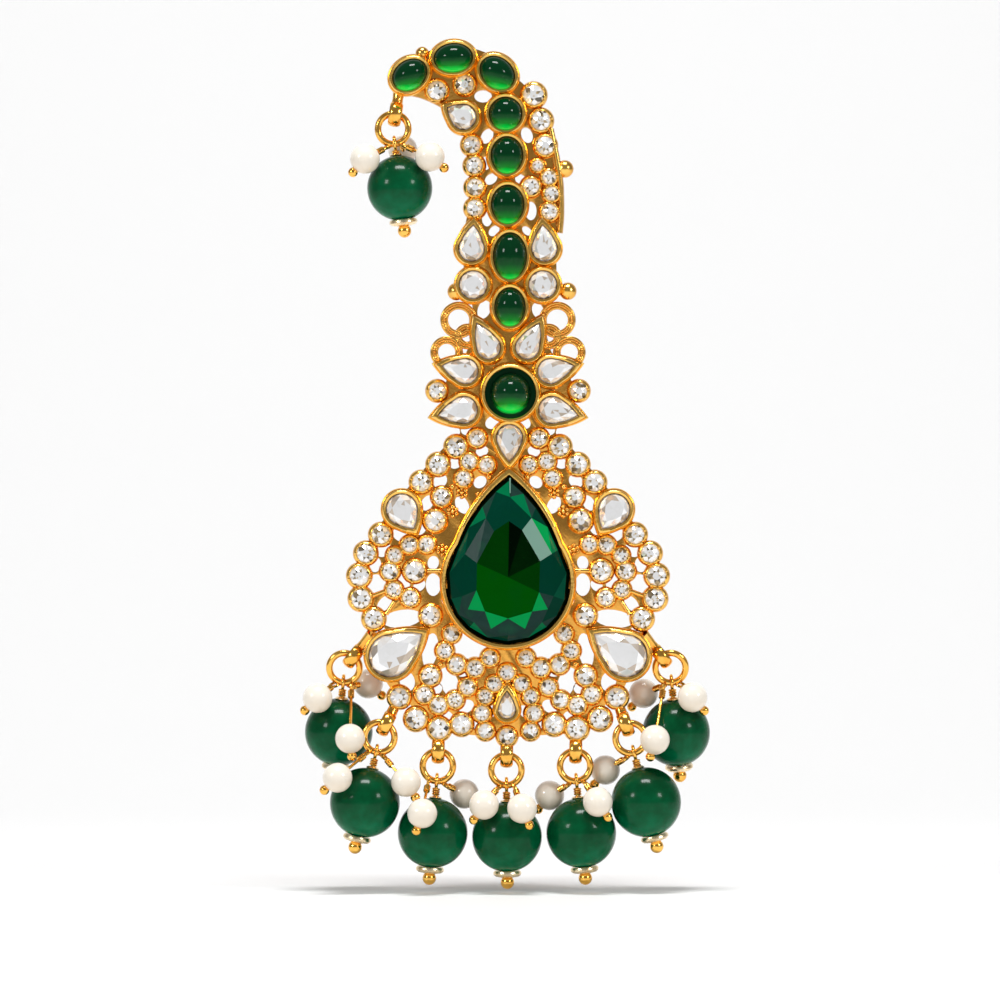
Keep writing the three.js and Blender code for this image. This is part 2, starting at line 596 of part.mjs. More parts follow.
// One drop: its jump ring, its bead and its spray. They lean from the ring to the bead, and back from the
// loop.
function dropGroup(drop) {
  const centre = ringCentre(drop);
  const pivot = loopMiddle(drop);
  const beadPlace = onChart(drop.beadAcross, drop.beadDown);
  const dx = beadPlace.x - centre.x;
  const dz = beadPlace.y - centre.z;
  const lean = Math.atan2(dx, -dz);
  const beadRadius = drop.name === "tip" ? TIP_BEAD_RADIUS : FRINGE_BEAD_RADIUS;
  const beadCentre = new THREE.Vector3(0, 0, -Math.hypot(dx, dz));
  const hanging = new THREE.Group();
  hanging.add(
    node(`jump_ring_${drop.name}`, toSolid(wireRing(RING_RADIUS, RING_WIRE, SIDES.wire, SIDES.ring)), GOLD),
    node(`bead_${drop.name}`, toSolid(bead(beadRadius).translate(...beadCentre.toArray())), GREEN_BEAD),
    node(`pearl_spray_${drop.name}`, pearlSpray(drop, beadCentre, beadRadius, -lean), GOLD),
  );
  hanging.position.copy(centre.sub(pivot));
  hanging.rotation.y = -lean;
  const group = new THREE.Group();
  group.add(hanging);
  group.position.copy(pivot);
  group.rotation.x = THREE.MathUtils.degToRad(drop.leanBack);
  return group;
}

const ornament = new THREE.Group();
ornament.add(node("cast_frame", castFrame(), GOLD));
ornament.add(node("back_pin", backPin(), GOLD));
ornament.add(node("centre_pear", toSolid(heroStone()), GREEN_GLASS));
ornament.add(node(ROSETTE_CABOCHON.name,
  toSolid(cabochon(ROSETTE_CABOCHON, CABOCHON_GIRDLE, ROSETTE_CROWN)), GREEN_GLASS));
for (const row of NECK_CABOCHONS) {
  ornament.add(node(row.name, toSolid(cabochon(row, CABOCHON_GIRDLE, CABOCHON_CROWN)), GREEN_GLASS));
}
for (const row of SINGLE_CLEAR_STONES) {
  ornament.add(node(row.name, toSolid(cutStone(row, CLEAR_GIRDLE, CLEAR_TABLE, TABLE_SHARE)), CLEAR_STONE));
}
for (const row of PAIRED_CLEAR_STONES) {
  for (const [side, place] of [["left", row], ["right", mirrored(row)]]) {
    const stone = cutStone(place, CLEAR_GIRDLE, CLEAR_TABLE, TABLE_SHARE);
    ornament.add(node(`${row.name}_${side}`, toSolid(stone), CLEAR_STONE));
  }
}
for (const drop of DROPS) ornament.add(dropGroup(drop));

export default ornament;
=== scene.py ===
import logging
import math
import random
from dataclasses import dataclass, replace
from enum import Enum
from typing import Iterable, Iterator, Sequence

import bmesh
import bpy
import numpy as np
from mathutils import Matrix, Vector


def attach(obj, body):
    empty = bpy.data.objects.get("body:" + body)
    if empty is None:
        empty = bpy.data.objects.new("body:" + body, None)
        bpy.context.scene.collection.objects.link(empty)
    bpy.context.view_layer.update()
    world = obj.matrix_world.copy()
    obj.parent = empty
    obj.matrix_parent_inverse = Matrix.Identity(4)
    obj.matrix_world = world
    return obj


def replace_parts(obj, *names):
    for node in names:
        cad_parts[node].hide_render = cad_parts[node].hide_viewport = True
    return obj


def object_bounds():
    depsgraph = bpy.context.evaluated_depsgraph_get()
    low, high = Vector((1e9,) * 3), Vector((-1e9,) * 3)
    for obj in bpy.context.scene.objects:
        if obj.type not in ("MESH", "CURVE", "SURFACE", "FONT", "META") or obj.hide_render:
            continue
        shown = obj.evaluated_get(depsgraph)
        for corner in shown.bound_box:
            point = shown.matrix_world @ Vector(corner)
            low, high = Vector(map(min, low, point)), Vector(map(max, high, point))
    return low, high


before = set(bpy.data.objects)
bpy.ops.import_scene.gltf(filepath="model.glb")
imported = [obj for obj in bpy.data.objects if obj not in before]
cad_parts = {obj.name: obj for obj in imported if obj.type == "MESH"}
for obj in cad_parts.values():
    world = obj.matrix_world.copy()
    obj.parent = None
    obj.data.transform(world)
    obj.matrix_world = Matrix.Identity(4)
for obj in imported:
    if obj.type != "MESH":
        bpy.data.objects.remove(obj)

CAD_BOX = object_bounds()
LOG = logging.getLogger("turban_ornament")
MM = 0.001
Points = np.ndarray
Factor = "Value | float"


class Slot(Enum):
    """The record's material slots."""

    GOLD = "gold"
    PALE_GOLD = "pale_gold"
    GREEN_STONE = "green_stone"
    CLEAR_STONE = "clear_stone"
    GREEN_BEAD = "green_bead"
    PEARL = "pearl"


class Side(Enum):
    """Which side of its bead a pearl hangs on."""

    FRONT = 1
    BACK = -1


@dataclass(frozen=True)
class Chart:
    """The front view that places are measured on, in chart units of a share of the overall height."""

    overall_height: float = 90.0
    units_high: float = 855.0
    axis: float = 508.0
    level: float = 460.0

    @property
    def unit(self) -> float:
        """Millimetres in a chart unit."""
        return self.overall_height / self.units_high

    def place(self, across: float, down: float) -> Points:
        """Turns a place on the chart into millimetres across and up.

        Args:
            across: Chart units from the chart's left edge.
            down: Chart units from the chart's top edge.

        Returns:
            The place, across and up from the origin.
        """
        return np.array([(across - self.axis) * self.unit, (self.level - down) * self.unit])


CHART = Chart()


@dataclass(frozen=True)
class Depths:
    """Distances in millimetres, forward from the flat back of the cast frame."""

    pin_to_frame: float = 2.3
    plate: float = 1.2
    small_foot: float = 0.4
    small_rim: float = 1.72
    small_girdle: float = 1.62
    small_table: float = 2.08
    seat_floor: float = 0.9
    seat_top: float = 2.5
    girdle: float = 2.2
    clear_table: float = 3.0
    cabochon_crown: float = 4.0
    rosette_top: float = 3.0
    rosette_crown: float = 5.3
    hero_top: float = 3.4
    hero_girdle: float = 3.0
    hero_table: float = 5.3
    edge: float = 0.9


DEPTH = Depths()


def forward(flat: Points, depth: float | Points) -> Points:
    """Stands points of the front view at a depth.

    Args:
        flat: Places across and up, in millimetres.
        depth: One depth, or one for each place.

    Returns:
        The points in the ornament's own frame.
    """
    flat = np.atleast_2d(flat)
    deep = np.broadcast_to(np.asarray(depth, float), (len(flat),))
    return np.column_stack([flat[:, 0], -DEPTH.pin_to_frame - deep, flat[:, 1]])


def ellipse(centre: Points, wide: float, high: float, count: int, turn: float = 0.0) -> Points:
    """An ellipse's outline, anticlockwise in the front view.

    Args:
        centre: Its middle, across and up.
        wide: Half its width.
        high: Half its height.
        count: How many points.
        turn: Degrees that it is turned by.

    Returns:
        The outline's points.
    """
    angle = (np.arange(count) + 0.5) / count * 2 * math.pi
    points = np.column_stack([wide * np.cos(angle), high * np.sin(angle)])
    c, s = math.cos(math.radians(turn)), math.sin(math.radians(turn))
    return points @ np.array([[c, s], [-s, c]]) + centre


def turned_rings(profile: Sequence[tuple[float, float]], sides: int, lift: float = 0.0) -> list[Points]:
    """Rings about the upright axis.

    Args:
        profile: Radius and height of each ring.
        sides: Points in each ring.
        lift: What each height is raised by.

    Returns:
        The rings.
    """
    angle = np.arange(sides) / sides * 2 * math.pi
    return [
        np.column_stack([r * np.cos(angle), r * np.sin(angle), np.full(sides, lift + z)])
        for r, z in profile
    ]


def smooth_loop(points: Points, per_side: int) -> Points:
    """A closed smooth curve through points.

    Args:
        points: The corners that it runs through.
        per_side: Points for each stretch between two corners.

    Returns:
        The curve's points.
    """
    before, after = np.roll(points, 1, axis=0), np.roll(points, -1, axis=0)
    beyond = np.roll(points, -2, axis=0)
    steps = []
    for t in np.arange(per_side) / per_side:
        steps.append(
            0.5 * (2 * points + (after - before) * t + (2 * before - 5 * points + 4 * after - beyond) * t**2
                   + (3 * points - before - 3 * after + beyond) * t**3)
        )
    return np.stack(steps, axis=1).reshape(-1, 2)


@dataclass(frozen=True)
class Outline:
    """The outline of a stone on the chart: an oval, or a pear where it has a tip.

    A half height of 0 stands for a round one.
    """

    name: str
    across: float
    down: float
    radius: float
    high: float = 0.0
    turn: float = 0.0
    tip: tuple[float, float] | None = None
    bulge: float = 0.06

    @property
    def centre(self) -> Points:
        """The middle of its round part."""
        return CHART.place(self.across, self.down)

    def mirrored(self, name: str) -> "Outline":
        """The same outline on the other side of the chart's axis.

        Args:
            name: The new outline's name.

        Returns:
            The mirrored outline.
        """
        tip = None if self.tip is None else (2 * CHART.axis - self.tip[0], self.tip[1])
        return replace(self, name=name, across=2 * CHART.axis - self.across, turn=180 - self.turn, tip=tip)

    def points(self, count: int, grow: float = 0.0) -> Points:
        """Its outline, grown all round.

        Args:
            count: How many points.
            grow: Millimetres to grow by.

        Returns:
            The points, anticlockwise, starting at the tip where there is one.
        """
        radius = self.radius * CHART.unit
        if self.tip is None:
            high = (self.high or self.radius) * CHART.unit
            return ellipse(self.centre, radius + grow, high + grow, count, self.turn)
        share = (radius + grow) / radius
        to_tip = CHART.place(*self.tip) - self.centre
        reach = float(np.hypot(*to_tip))
        start = math.atan2(to_tip[1], to_tip[0])
        touch = math.acos(radius / reach)
        side_length = math.sqrt(reach**2 - radius**2)
        arc_length = 2 * (math.pi - touch) * radius
        whole = 2 * side_length + arc_length
        walk = np.arange(count) / count * whole
        tip_point = reach * np.array([math.cos(start), math.sin(start)])
        outline = []
        for s in walk:
            if s < side_length or s > whole - side_length:
                near = s < side_length
                turn = start + (touch if near else -touch)
                foot = radius * np.array([math.cos(turn), math.sin(turn)])
                t = (s if near else whole - s) / side_length
                along = foot - tip_point
                out = np.array([along[1], -along[0]]) * (1 if near else -1)
                outline.append(tip_point + along * t + out * 4 * self.bulge * t * (1 - t))
            else:
                angle = start + touch + (s - side_length) / radius
                outline.append(radius * np.array([math.cos(angle), math.sin(angle)]))
        return np.array(outline) * share + self.centre


class Sketch:
    """Collects points in millimetres and faces, and makes one piece of them."""

    def __init__(self) -> None:
        """Starts empty."""
        self.points: list[Points] = []
        self.faces: list[Sequence[int]] = []
        self.shades: list[float] = []
        self.count = 0

    def add(self, points: Points, faces: Iterable[Sequence[int]], shade: float | Sequence[float] = 0.5) -> None:
        """Adds points, and faces that count from the first of them.

        Args:
            points: The new points.
            faces: Corners of each new face.
            shade: One shade for the new faces, or one for each.
        """
        start = self.count
        made = [tuple(start + i for i in face) for face in faces]
        self.points.append(np.asarray(points, float))
        self.faces.extend(made)
        self.shades.extend([shade] * len(made) if isinstance(shade, (int, float)) else shade)
        self.count += len(points)

    def loft(self, rings: Sequence[Points]) -> None:
        """Adds a skin over rings of points, closed at both ends.

        Args:
            rings: Rings with equal numbers of points.
        """
        n = len(rings[0])
        faces: list[Sequence[int]] = []
        for level in range(len(rings) - 1):
            a = level * n
            faces += [(a + i, a + (i + 1) % n, a + n + (i + 1) % n, a + n + i) for i in range(n)]
        faces.append(tuple(reversed(range(n))))
        faces.append(tuple(range((len(rings) - 1) * n, len(rings) * n)))
        self.add(np.vstack(rings), faces)

    def hoop(self, rings: Sequence[Points]) -> None:
        """Adds a skin over rings of points that closes on its first ring.

        Args:
            rings: Rings with equal numbers of points.
        """
        n, m = len(rings[0]), len(rings)
        faces = [
            (level * n + i, level * n + (i + 1) % n, (level + 1) % m * n + (i + 1) % n, (level + 1) % m * n + i)
            for level in range(m) for i in range(n)
        ]
        self.add(np.vstack(rings), faces)

    def ball(self, centre: Points, radius: float, sides: int = 12, squash: Sequence[float] = (1, 1, 1)) -> None:
        """Adds a round ball.

        Args:
            centre: Its middle.
            radius: Its radius.
            sides: Its sides round its axis.
            squash: What its radius is multiplied by along X, Y and Z.
        """
        rows = sides // 2
        angle = np.arange(sides) / sides * 2 * math.pi
        rings = []
        for row in range(1, rows):
            up = math.pi * row / rows
            rings.append(np.column_stack([
                math.sin(up) * np.cos(angle), math.sin(up) * np.sin(angle), np.full(sides, -math.cos(up))]))
        points = np.vstack([*rings, [[0, 0, -1], [0, 0, 1]]]) * radius * np.asarray(squash) + centre
        faces: list[Sequence[int]] = []
        for level in range(rows - 2):
            a = level * sides
            faces += [(a + i, a + (i + 1) % sides, a + sides + (i + 1) % sides, a + sides + i) for i in range(sides)]
        bottom, top = (rows - 1) * sides, (rows - 1) * sides + 1
        last = (rows - 2) * sides
        faces += [(bottom, (i + 1) % sides, i) for i in range(sides)]
        faces += [(top, last + i, last + (i + 1) % sides) for i in range(sides)]
        self.add(points, faces)

    def tube(self, path: Points, radius: float | Sequence[float], sides: int = 10, closed: bool = False) -> None:
        """Adds a round wire along a path.

        Args:
            path: The points that its middle follows.
            radius: Its radius, or one for each point.
            sides: Its sides.
            closed: Whether its end meets its start.
        """
        path = np.asarray(path, float)
        radii = np.broadcast_to(np.asarray(radius, float), (len(path),))
        ahead = np.roll(path, -1, axis=0) - np.roll(path, 1, axis=0)
        if not closed:
            ahead[0], ahead[-1] = path[1] - path[0], path[-1] - path[-2]
        ahead /= np.linalg.norm(ahead, axis=1)[:, None]
        side = np.cross(ahead[0], [0.31, 0.87, 0.38])
        angle = np.arange(sides) / sides * 2 * math.pi
        rings = []
        for point, direction, r in zip(path, ahead, radii):
            side = side - direction * float(side @ direction)
            side /= np.linalg.norm(side)
            up = np.cross(direction, side)
            rings.append(point + r * (np.outer(np.cos(angle), side) + np.outer(np.sin(angle), up)))
        if closed:
            self.hoop(rings)
        else:
            self.loft(rings)

    def ring(self, centre: Points, axis: Points, radius: float, wire: float | tuple[float, float],
             segments: int = 40, sides: int = 14) -> None:
        """Adds a closed ring of wire.

        Args:
            centre: Its middle.
            axis: The direction of its hole.
            radius: From its middle to the wire's middle.
            wire: The wire's radius, or its radius across the hole and along it.
            segments: Segments round the ring.
            sides: Sides of the wire.
        """
        axis = np.asarray(axis, float) / np.linalg.norm(axis)
        first = np.cross(axis, [0.3, 0.9, 0.1])
        first /= np.linalg.norm(first)
        second = np.cross(axis, first)
        across, along = wire if isinstance(wire, tuple) else (wire, wire)
        turn = np.arange(sides) / sides * 2 * math.pi
        rings = []
        for angle in np.arange(segments) / segments * 2 * math.pi:
            out = math.cos(angle) * first + math.sin(angle) * second
            rings.append(
                centre + out * radius + np.outer(across * np.cos(turn), out) + np.outer(along * np.sin(turn), axis))
        self.hoop(rings)

    def turned(self, profile: Sequence[tuple[float, float]], sides: int) -> None:
        """Adds a body turned about the upright axis, closed at both ends of its profile.

        Args:
            profile: Radius and height of each ring, from the bottom up.
            sides: Its sides.
        """
        self.loft(turned_rings(profile, sides))

    def moved(self, matrix: Matrix) -> "Sketch":
        """Moves everything collected so far.

        Args:
            matrix: Where it goes, in millimetres.

        Returns:
            This sketch.
        """
        table = np.array(matrix)
        self.points = [p @ table[:3, :3].T + table[:3, 3] for p in self.points]
        return self

    def piece(self, name: str, slot: Slot, finish: "Finish", smooth: float | None = 40.0) -> bpy.types.Object:
        """Makes one piece of everything collected, dressed and riding on the ornament.

        Args:
            name: The piece's name.
            slot: The record's slot; not used.
            finish: The material's maker.
            smooth: Edges sharper than this many degrees stay sharp; None shades each face flat.

        Returns:
            The piece.
        """
        mesh = bpy.data.meshes.new(name)
        mesh.from_pydata(np.vstack(self.points) * MM, [], self.faces)
        shade = mesh.attributes.new("facet", "FLOAT", "FACE")
        shade.data.foreach_set("value", np.asarray(self.shades, np.float32))
        return dress(mesh, name, finish, smooth)


def dress(mesh: bpy.types.Mesh, name: str, finish: "Finish",
          smooth: float | None = 40.0) -> bpy.types.Object:
    """Turns a mesh into a piece of the ornament.

    Args:
        mesh: The mesh, in metres.
        name: The piece's name.
        finish: The material's maker.
        smooth: Edges sharper than this many degrees stay sharp; None shades each face flat.

    Returns:
        The piece.
    """
    mesh.validate()
    work = bmesh.new()
    work.from_mesh(mesh)
    bmesh.ops.recalc_face_normals(work, faces=work.faces)
    work.to_mesh(mesh)
    work.free()
    if smooth is None:
        mesh.shade_flat()
    else:
        mesh.shade_smooth()
        mesh.set_sharp_from_angle(angle=math.radians(smooth))
    mesh.materials.clear()
    mesh.materials.append(finish.material())
    piece = bpy.data.objects.new(name, mesh)
    bpy.context.scene.collection.objects.link(piece)
    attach(piece, "root")
    return piece


class Value:
    """A socket that works in Python arithmetic by adding Math nodes."""

    def __init__(self, tree: "Tree", socket: bpy.types.NodeSocket) -> None:
        """Wraps a socket of a tree."""
        self.tree = tree
        self.socket = socket

    def __add__(self, other: Factor) -> "Value":
        """The sum."""
        return self.tree.math("ADD", self, other)

    def __radd__(self, other: float) -> "Value":
        """The sum, from the right."""
        return self.tree.math("ADD", other, self)

    def __sub__(self, other: Factor) -> "Value":
        """The difference."""
        return self.tree.math("SUBTRACT", self, other)

    def __rsub__(self, other: float) -> "Value":
        """The difference, from the right."""
        return self.tree.math("SUBTRACT", other, self)

    def __mul__(self, other: Factor) -> "Value":
        """The product."""
        return self.tree.math("MULTIPLY", self, other)

    def __rmul__(self, other: float) -> "Value":
        """The product, from the right."""
        return self.tree.math("MULTIPLY", other, self)


class Tree:
    """A material's nodes."""

    def __init__(self, name: str) -> None:
        """Starts a material with a Principled BSDF."""
        self.material = bpy.data.materials.new(name)
        self.material.use_nodes = True
        self.nodes = self.material.node_tree.nodes
        self.shader = self.nodes["Principled BSDF"]

    def feed(self, socket: bpy.types.NodeSocket, value: object) -> None:
        """Sets a socket to a value or links it.

        Args:
            socket: The socket to feed.
            value: A number, a colour or a Value.
        """
        if isinstance(value, Value):
            self.material.node_tree.links.new(value.socket, socket)
        elif isinstance(value, tuple) and len(value) == 3 and len(socket.default_value) == 4:
            socket.default_value = (*value, 1.0)
        else:
            socket.default_value = value

    def node(self, kind: str, settings: dict[str, object] | None = None,
             inputs: dict[str | int, object] | None = None, output: str | int = 0) -> Value:
        """Adds a node.

        Args:
            kind: The node's type.
            settings: Its settings; stops is a ramp's list of places and colours.
            inputs: What its sockets get, by name or number.
            output: The output to give back.

        Returns:
            The chosen output.
        """
        made = self.nodes.new(kind)
        for name, value in (settings or {}).items():
            if name != "stops":
                setattr(made, name, value)
                continue
            ramp = made.color_ramp
            while len(ramp.elements) < len(value):
                ramp.elements.new(0.5)
            for element, (place, colour) in zip(ramp.elements, value):
                element.position = place
                element.color = (*colour, 1.0)
        for name, value in (inputs or {}).items():
            self.feed(made.inputs[name], value)
        return Value(self, made.outputs[output])

    def math(self, operation: str, first: Factor, second: Factor) -> Value:
        """Adds a Math node."""
        return self.node("ShaderNodeMath", {"operation": operation}, {0: first, 1: second})

    def mix(self, share: Factor, first: object, second: object) -> Value:
        """Mixes two colours by a share of the second."""
        return self.node("ShaderNodeMix", {"data_type": "RGBA"}, {0: share, 6: first, 7: second}, output=2)

    def ramp(self, factor: Factor, *stops: tuple[float, tuple[float, float, float]]) -> Value:
        """Looks a colour up on a ramp of stops."""
        return self.node("ShaderNodeValToRGB", {"stops": stops}, {0: factor})

    def between(self, value: Factor, low: float, high: float) -> Value:
        """Where a value lies from low, as 0, to high, as 1."""
        return self.node("ShaderNodeMapRange", None, {"Value": value, "From Min": low, "From Max": high})

    def noise(self, per_mm: float, detail: float = 3.0) -> Value:
        """Noise over the piece.

        Args:
            per_mm: Its grain, in cycles a millimetre.
            detail: How many finer layers it has.

        Returns:
            A share from 0 to 1.
        """
        place = self.node("ShaderNodeTexCoord", output="Object")
        return self.node("ShaderNodeTexNoise", None, {"Vector": place, "Scale": per_mm / MM, "Detail": detail})

    def facet(self) -> Value:
        """The shade that each face carries."""
        return self.node("ShaderNodeAttribute", {"attribute_name": "facet"}, output="Fac")

    def axis(self, source: str, output: str, letter: str) -> Value:
        """One axis of a direction or place.

        Args:
            source: The node's type.
            output: The output that holds the vector.
            letter: X, Y or Z.

        Returns:
            The number on that axis.
        """
        vector = self.node(source, output=output)
        return self.node("ShaderNodeSeparateXYZ", None, {0: vector}, output=letter)

    def bump(self, height: Factor, distance: float) -> None:
        """Bends the shading by a height over a distance in millimetres."""
        inputs = {"Height": height, "Distance": distance * MM}
        made = self.node("ShaderNodeBump", None, inputs)
        self.feed(self.shader.inputs["Normal"], made)

    def surface(self, **values: object) -> bpy.types.Material:
        """Sets the shader's sockets, with underscores for spaces, and gives the material back."""
        for name, value in values.items():
            self.feed(self.shader.inputs[name.replace("_", " ")], value)
        return self.material


Colour = tuple[float, float, float]


@dataclass(frozen=True)
class Finish:
    """A finish that is made once and shared."""

    name: str

    def material(self) -> bpy.types.Material:
        """Gives the finish's material, made the first time."""
        return bpy.data.materials.get(self.name) or self.build(Tree(self.name))

    def build(self, tree: Tree) -> bpy.types.Material:
        """Makes the material."""
        raise NotImplementedError


@dataclass(frozen=True)
class CastGold(Finish):
    """Gold plating, bright on what stands up, with a painted shade that turns it brown towards the recesses."""

    name: str = "cast_gold"
    bright: Colour = (1.0, 0.60, 0.14)
    # deep is the painted shade's colour; the painted shade is full at the depth low and gone at high, in millimetres
    # forward from the frame's back.
    deep: Colour = (0.72, 0.25, 0.02)
    low: float = 0.6
    high: float = 1.8
    roughness: float = 0.15
    grain: float = 0.012

    def build(self, tree: Tree) -> bpy.types.Material:
        """Makes the material."""
        # Painted shade: the colour runs from deep at the back to lit at the front, standing in for the shade in the
        # recesses; the noise only varies the gold's own tone.
        y = tree.axis("ShaderNodeTexCoord", "Object", "Y")
        low, high = (DEPTH.pin_to_frame + self.low) * MM, (DEPTH.pin_to_frame + self.high) * MM
        height = tree.between(-1 * y, low, high)
        patina = tree.noise(1.3)
        lit = tree.mix(tree.between(patina, 0.35, 0.75), self.bright, tuple(c * 0.86 for c in self.bright))
        colour = tree.mix(height, self.deep, lit)
        rough = self.roughness + 0.14 * tree.noise(2.6)
        tree.bump(tree.noise(3.2, 2.0), self.grain)
        return tree.surface(Base_Color=colour, Metallic=1.0, Roughness=rough)


@dataclass(frozen=True)
class WireGold(Finish):
    """Plain gold wire and balls, smooth, with faint handling marks."""

    name: str = "wire_gold"
    bright: Colour = (1.0, 0.57, 0.12)
    worn: Colour = (0.90, 0.44, 0.07)
    roughness: float = 0.12

    def build(self, tree: Tree) -> bpy.types.Material:
        """Makes the material."""
        colour = tree.mix(tree.between(tree.noise(1.1), 0.4, 0.7), self.bright, self.worn)
        rough = self.roughness + 0.12 * tree.noise(4.0)
        tree.bump(tree.noise(2.2), 0.02)
        return tree.surface(Base_Color=colour, Metallic=1.0, Roughness=rough)


@dataclass(frozen=True)
class CutGlass(Finish):
    """Cut glass on foil, with painted reflections: each facet carries its own painted shade, standing in for its
    sparkle and the reflections in it.
    """

    # The ramp's colours for the painted facet shades: dark for painted dark reflections, middle for painted golden
    # ones, light and pale for painted bright ones.
    dark: Colour = (0.20, 0.19, 0.19)
    middle: Colour = (0.62, 0.52, 0.42)
    light: Colour = (0.93, 0.93, 0.93)
    pale: Colour = (0.97, 0.97, 0.98)
    metallic: float = 0.4
    roughness: float = 0.06
    coat: float = 0.3
    cloud: float = 0.24
    specular: float = 0.5

    def build(self, tree: Tree) -> bpy.types.Material:
        """Makes the material."""
        cloud = self.cloud * tree.noise(1.6, 2.0) - 0.5 * self.cloud
        shade = tree.facet() + cloud
        colour = tree.ramp(shade, (0.0, self.dark), (0.42, self.middle), (0.78, self.light), (0.98, self.pale))
        rough = self.roughness + 0.03 * tree.noise(3.0)
        return tree.surface(
            Base_Color=colour, Metallic=self.metallic, Roughness=rough, IOR=1.55, Coat_Weight=self.coat,
            Coat_Roughness=0.03, Specular_IOR_Level=self.specular)


@dataclass(frozen=True)
class PearGlass(Finish):
    """The big pear's green glass, with a colour for each of its facets' painted tones of light and shade, and a faint
    painted glow.
    """

    name: str = "deep_green_cut_glass"
    tones: tuple[Colour, ...] = (
        (0.0002, 0.002, 0.0005), (0.0003, 0.007, 0.0008), (0.0003, 0.024, 0.0010), (0.0003, 0.050, 0.0010),
        (0.0004, 0.028, 0.016), (0.0005, 0.050, 0.026), (0.0008, 0.115, 0.042), (0.0010, 0.24, 0.055),
        (0.011, 0.031, 0.026), (0.06, 0.11, 0.09), (0.115, 0.22, 0.17),
    )

    def build(self, tree: Tree) -> bpy.types.Material:
        """Makes the material."""
        last = len(self.tones) - 1
        drift = 0.04 * tree.noise(0.5, 2.0) - 0.02
        colour = tree.ramp(tree.facet() + drift, *((i / last, tone) for i, tone in enumerate(self.tones)))
        rough = 0.05 + 0.04 * tree.noise(2.0)
        # The emission is a painted glow: the facets' painted colours shine a little by themselves.
        return tree.surface(
            Base_Color=colour, Roughness=rough, IOR=1.55, Specular_IOR_Level=0.015, Emission_Color=colour,
            Emission_Strength=0.2)


@dataclass(frozen=True)
class DomedGlass(Finish):
    """A green glass dome with painted light and shade: painted dark under its top, a painted shadow ring round its
    steep sides, and painted light gathered along its lower edge.
    """

    name: str = "domed_green_glass"
    # Colours of the painted light and shade: shadow for the painted shadow ring, then dark, middle and low down the
    # dome to glow, the painted light at its lower edge.
    shadow: Colour = (0.0005, 0.004, 0.001)
    dark: Colour = (0.0003, 0.022, 0.006)
    middle: Colour = (0.0003, 0.052, 0.008)
    low: Colour = (0.001, 0.17, 0.010)
    glow: Colour = (0.005, 0.62, 0.06)
    glow_light: float = 0.3

    def build(self, tree: Tree) -> bpy.types.Material:
        """Makes the material."""
        # Painted by the way the surface faces: depth is no depth in the glass but a ramp from dark where it faces up
        # to glow where it faces down, and the shadow colour is painted on the steep sides except along the bottom.
        down = -1 * tree.axis("ShaderNodeTexCoord", "Normal", "Z")
        front = -1 * tree.axis("ShaderNodeTexCoord", "Normal", "Y")
        cloud = 0.1 * tree.noise(0.7, 2.0) - 0.05
        depth = tree.ramp(
            tree.between(down + cloud, -0.6, 0.9), (0.0, self.dark), (0.38, self.dark), (0.6, self.middle),
            (0.84, self.low), (1.0, self.glow))
        rim = tree.between(front, 0.1, 0.5)
        lit = tree.math("MAXIMUM", rim, tree.between(down, 0.5, 0.75))
        colour = tree.mix(lit, self.shadow, depth)
        rough = 0.05 + 0.04 * tree.noise(2.0)
        # The emission makes the painted colours glow, a painted light.
        return tree.surface(
            Base_Color=colour, Roughness=rough, IOR=1.5, Specular_IOR_Level=0.12, Coat_Weight=0.06,
            Coat_Roughness=0.03, Emission_Color=colour, Emission_Strength=self.glow_light)


@dataclass(frozen=True)
class GreenBead(Finish):
    """A glossy bead of mottled green, painted lighter and bluer below as a painted reflection of the pale floor."""

    name: str = "mottled_green_bead"
    dark: Colour = (0.0003, 0.038, 0.011)
    middle: Colour = (0.0003, 0.078, 0.026)
    light: Colour = (0.0003, 0.155, 0.062)

    def build(self, tree: Tree) -> bpy.types.Material:
        """Makes the material."""
        down = -1 * tree.axis("ShaderNodeTexCoord", "Normal", "Z")
        mottle = tree.noise(0.55, 5.0)
        # The mottle is the bead's own colour; the part facing down is painted lighter and bluer, a painted reflection
        # of the floor.
        share = tree.between(down * 0.45 + mottle, 0.12, 1.05)
        colour = tree.ramp(share, (0.0, self.dark), (0.5, self.middle), (1.0, self.light))
        rough = 0.05 + 0.06 * tree.noise(1.4)
        return tree.surface(
            Base_Color=colour, Roughness=rough, IOR=1.5, Specular_IOR_Level=0.06, Coat_Weight=0.14,
            Coat_Roughness=0.2)


@dataclass(frozen=True)
class PearlLustre(Finish):
    """A cream pearl with a soft lustre, a faint pink and green play, a painted shade below and a faint painted glow.
    """

    name: str = "pearl_lustre"
    cream: Colour = (0.84, 0.77, 0.66)
    shade: Colour = (0.78, 0.64, 0.47)
    cool: Colour = (0.84, 0.83, 0.79)

    def build(self, tree: Tree) -> bpy.types.Material:
        """Makes the material."""
        down = -1 * tree.axis("ShaderNodeTexCoord", "Normal", "Z")
        # Painted shade: the cream turns to the shade colour towards the underside.
        cream_with_painted_shade = tree.mix(tree.between(down, -0.3, 1.0), self.cream, self.shade)
        colour = tree.mix(0.35 * tree.noise(0.8), cream_with_painted_shade, self.cool)
        rough = 0.2 + 0.1 * tree.noise(2.2)
        tree.bump(tree.noise(0.8), 0.015)
        # The faint emission is a painted glow that lifts the pearls lying in shadow.
        return tree.surface(
            Base_Color=colour, Roughness=rough, IOR=1.5, Coat_Weight=0.5, Coat_Roughness=0.08,
            Emission_Color=colour, Emission_Strength=0.05)


CAST_GOLD = CastGold()
WIRE_GOLD = WireGold()
PALE_GOLD = WireGold(name="pale_gold", bright=(1.0, 0.84, 0.56), worn=(0.95, 0.70, 0.38), roughness=0.22)
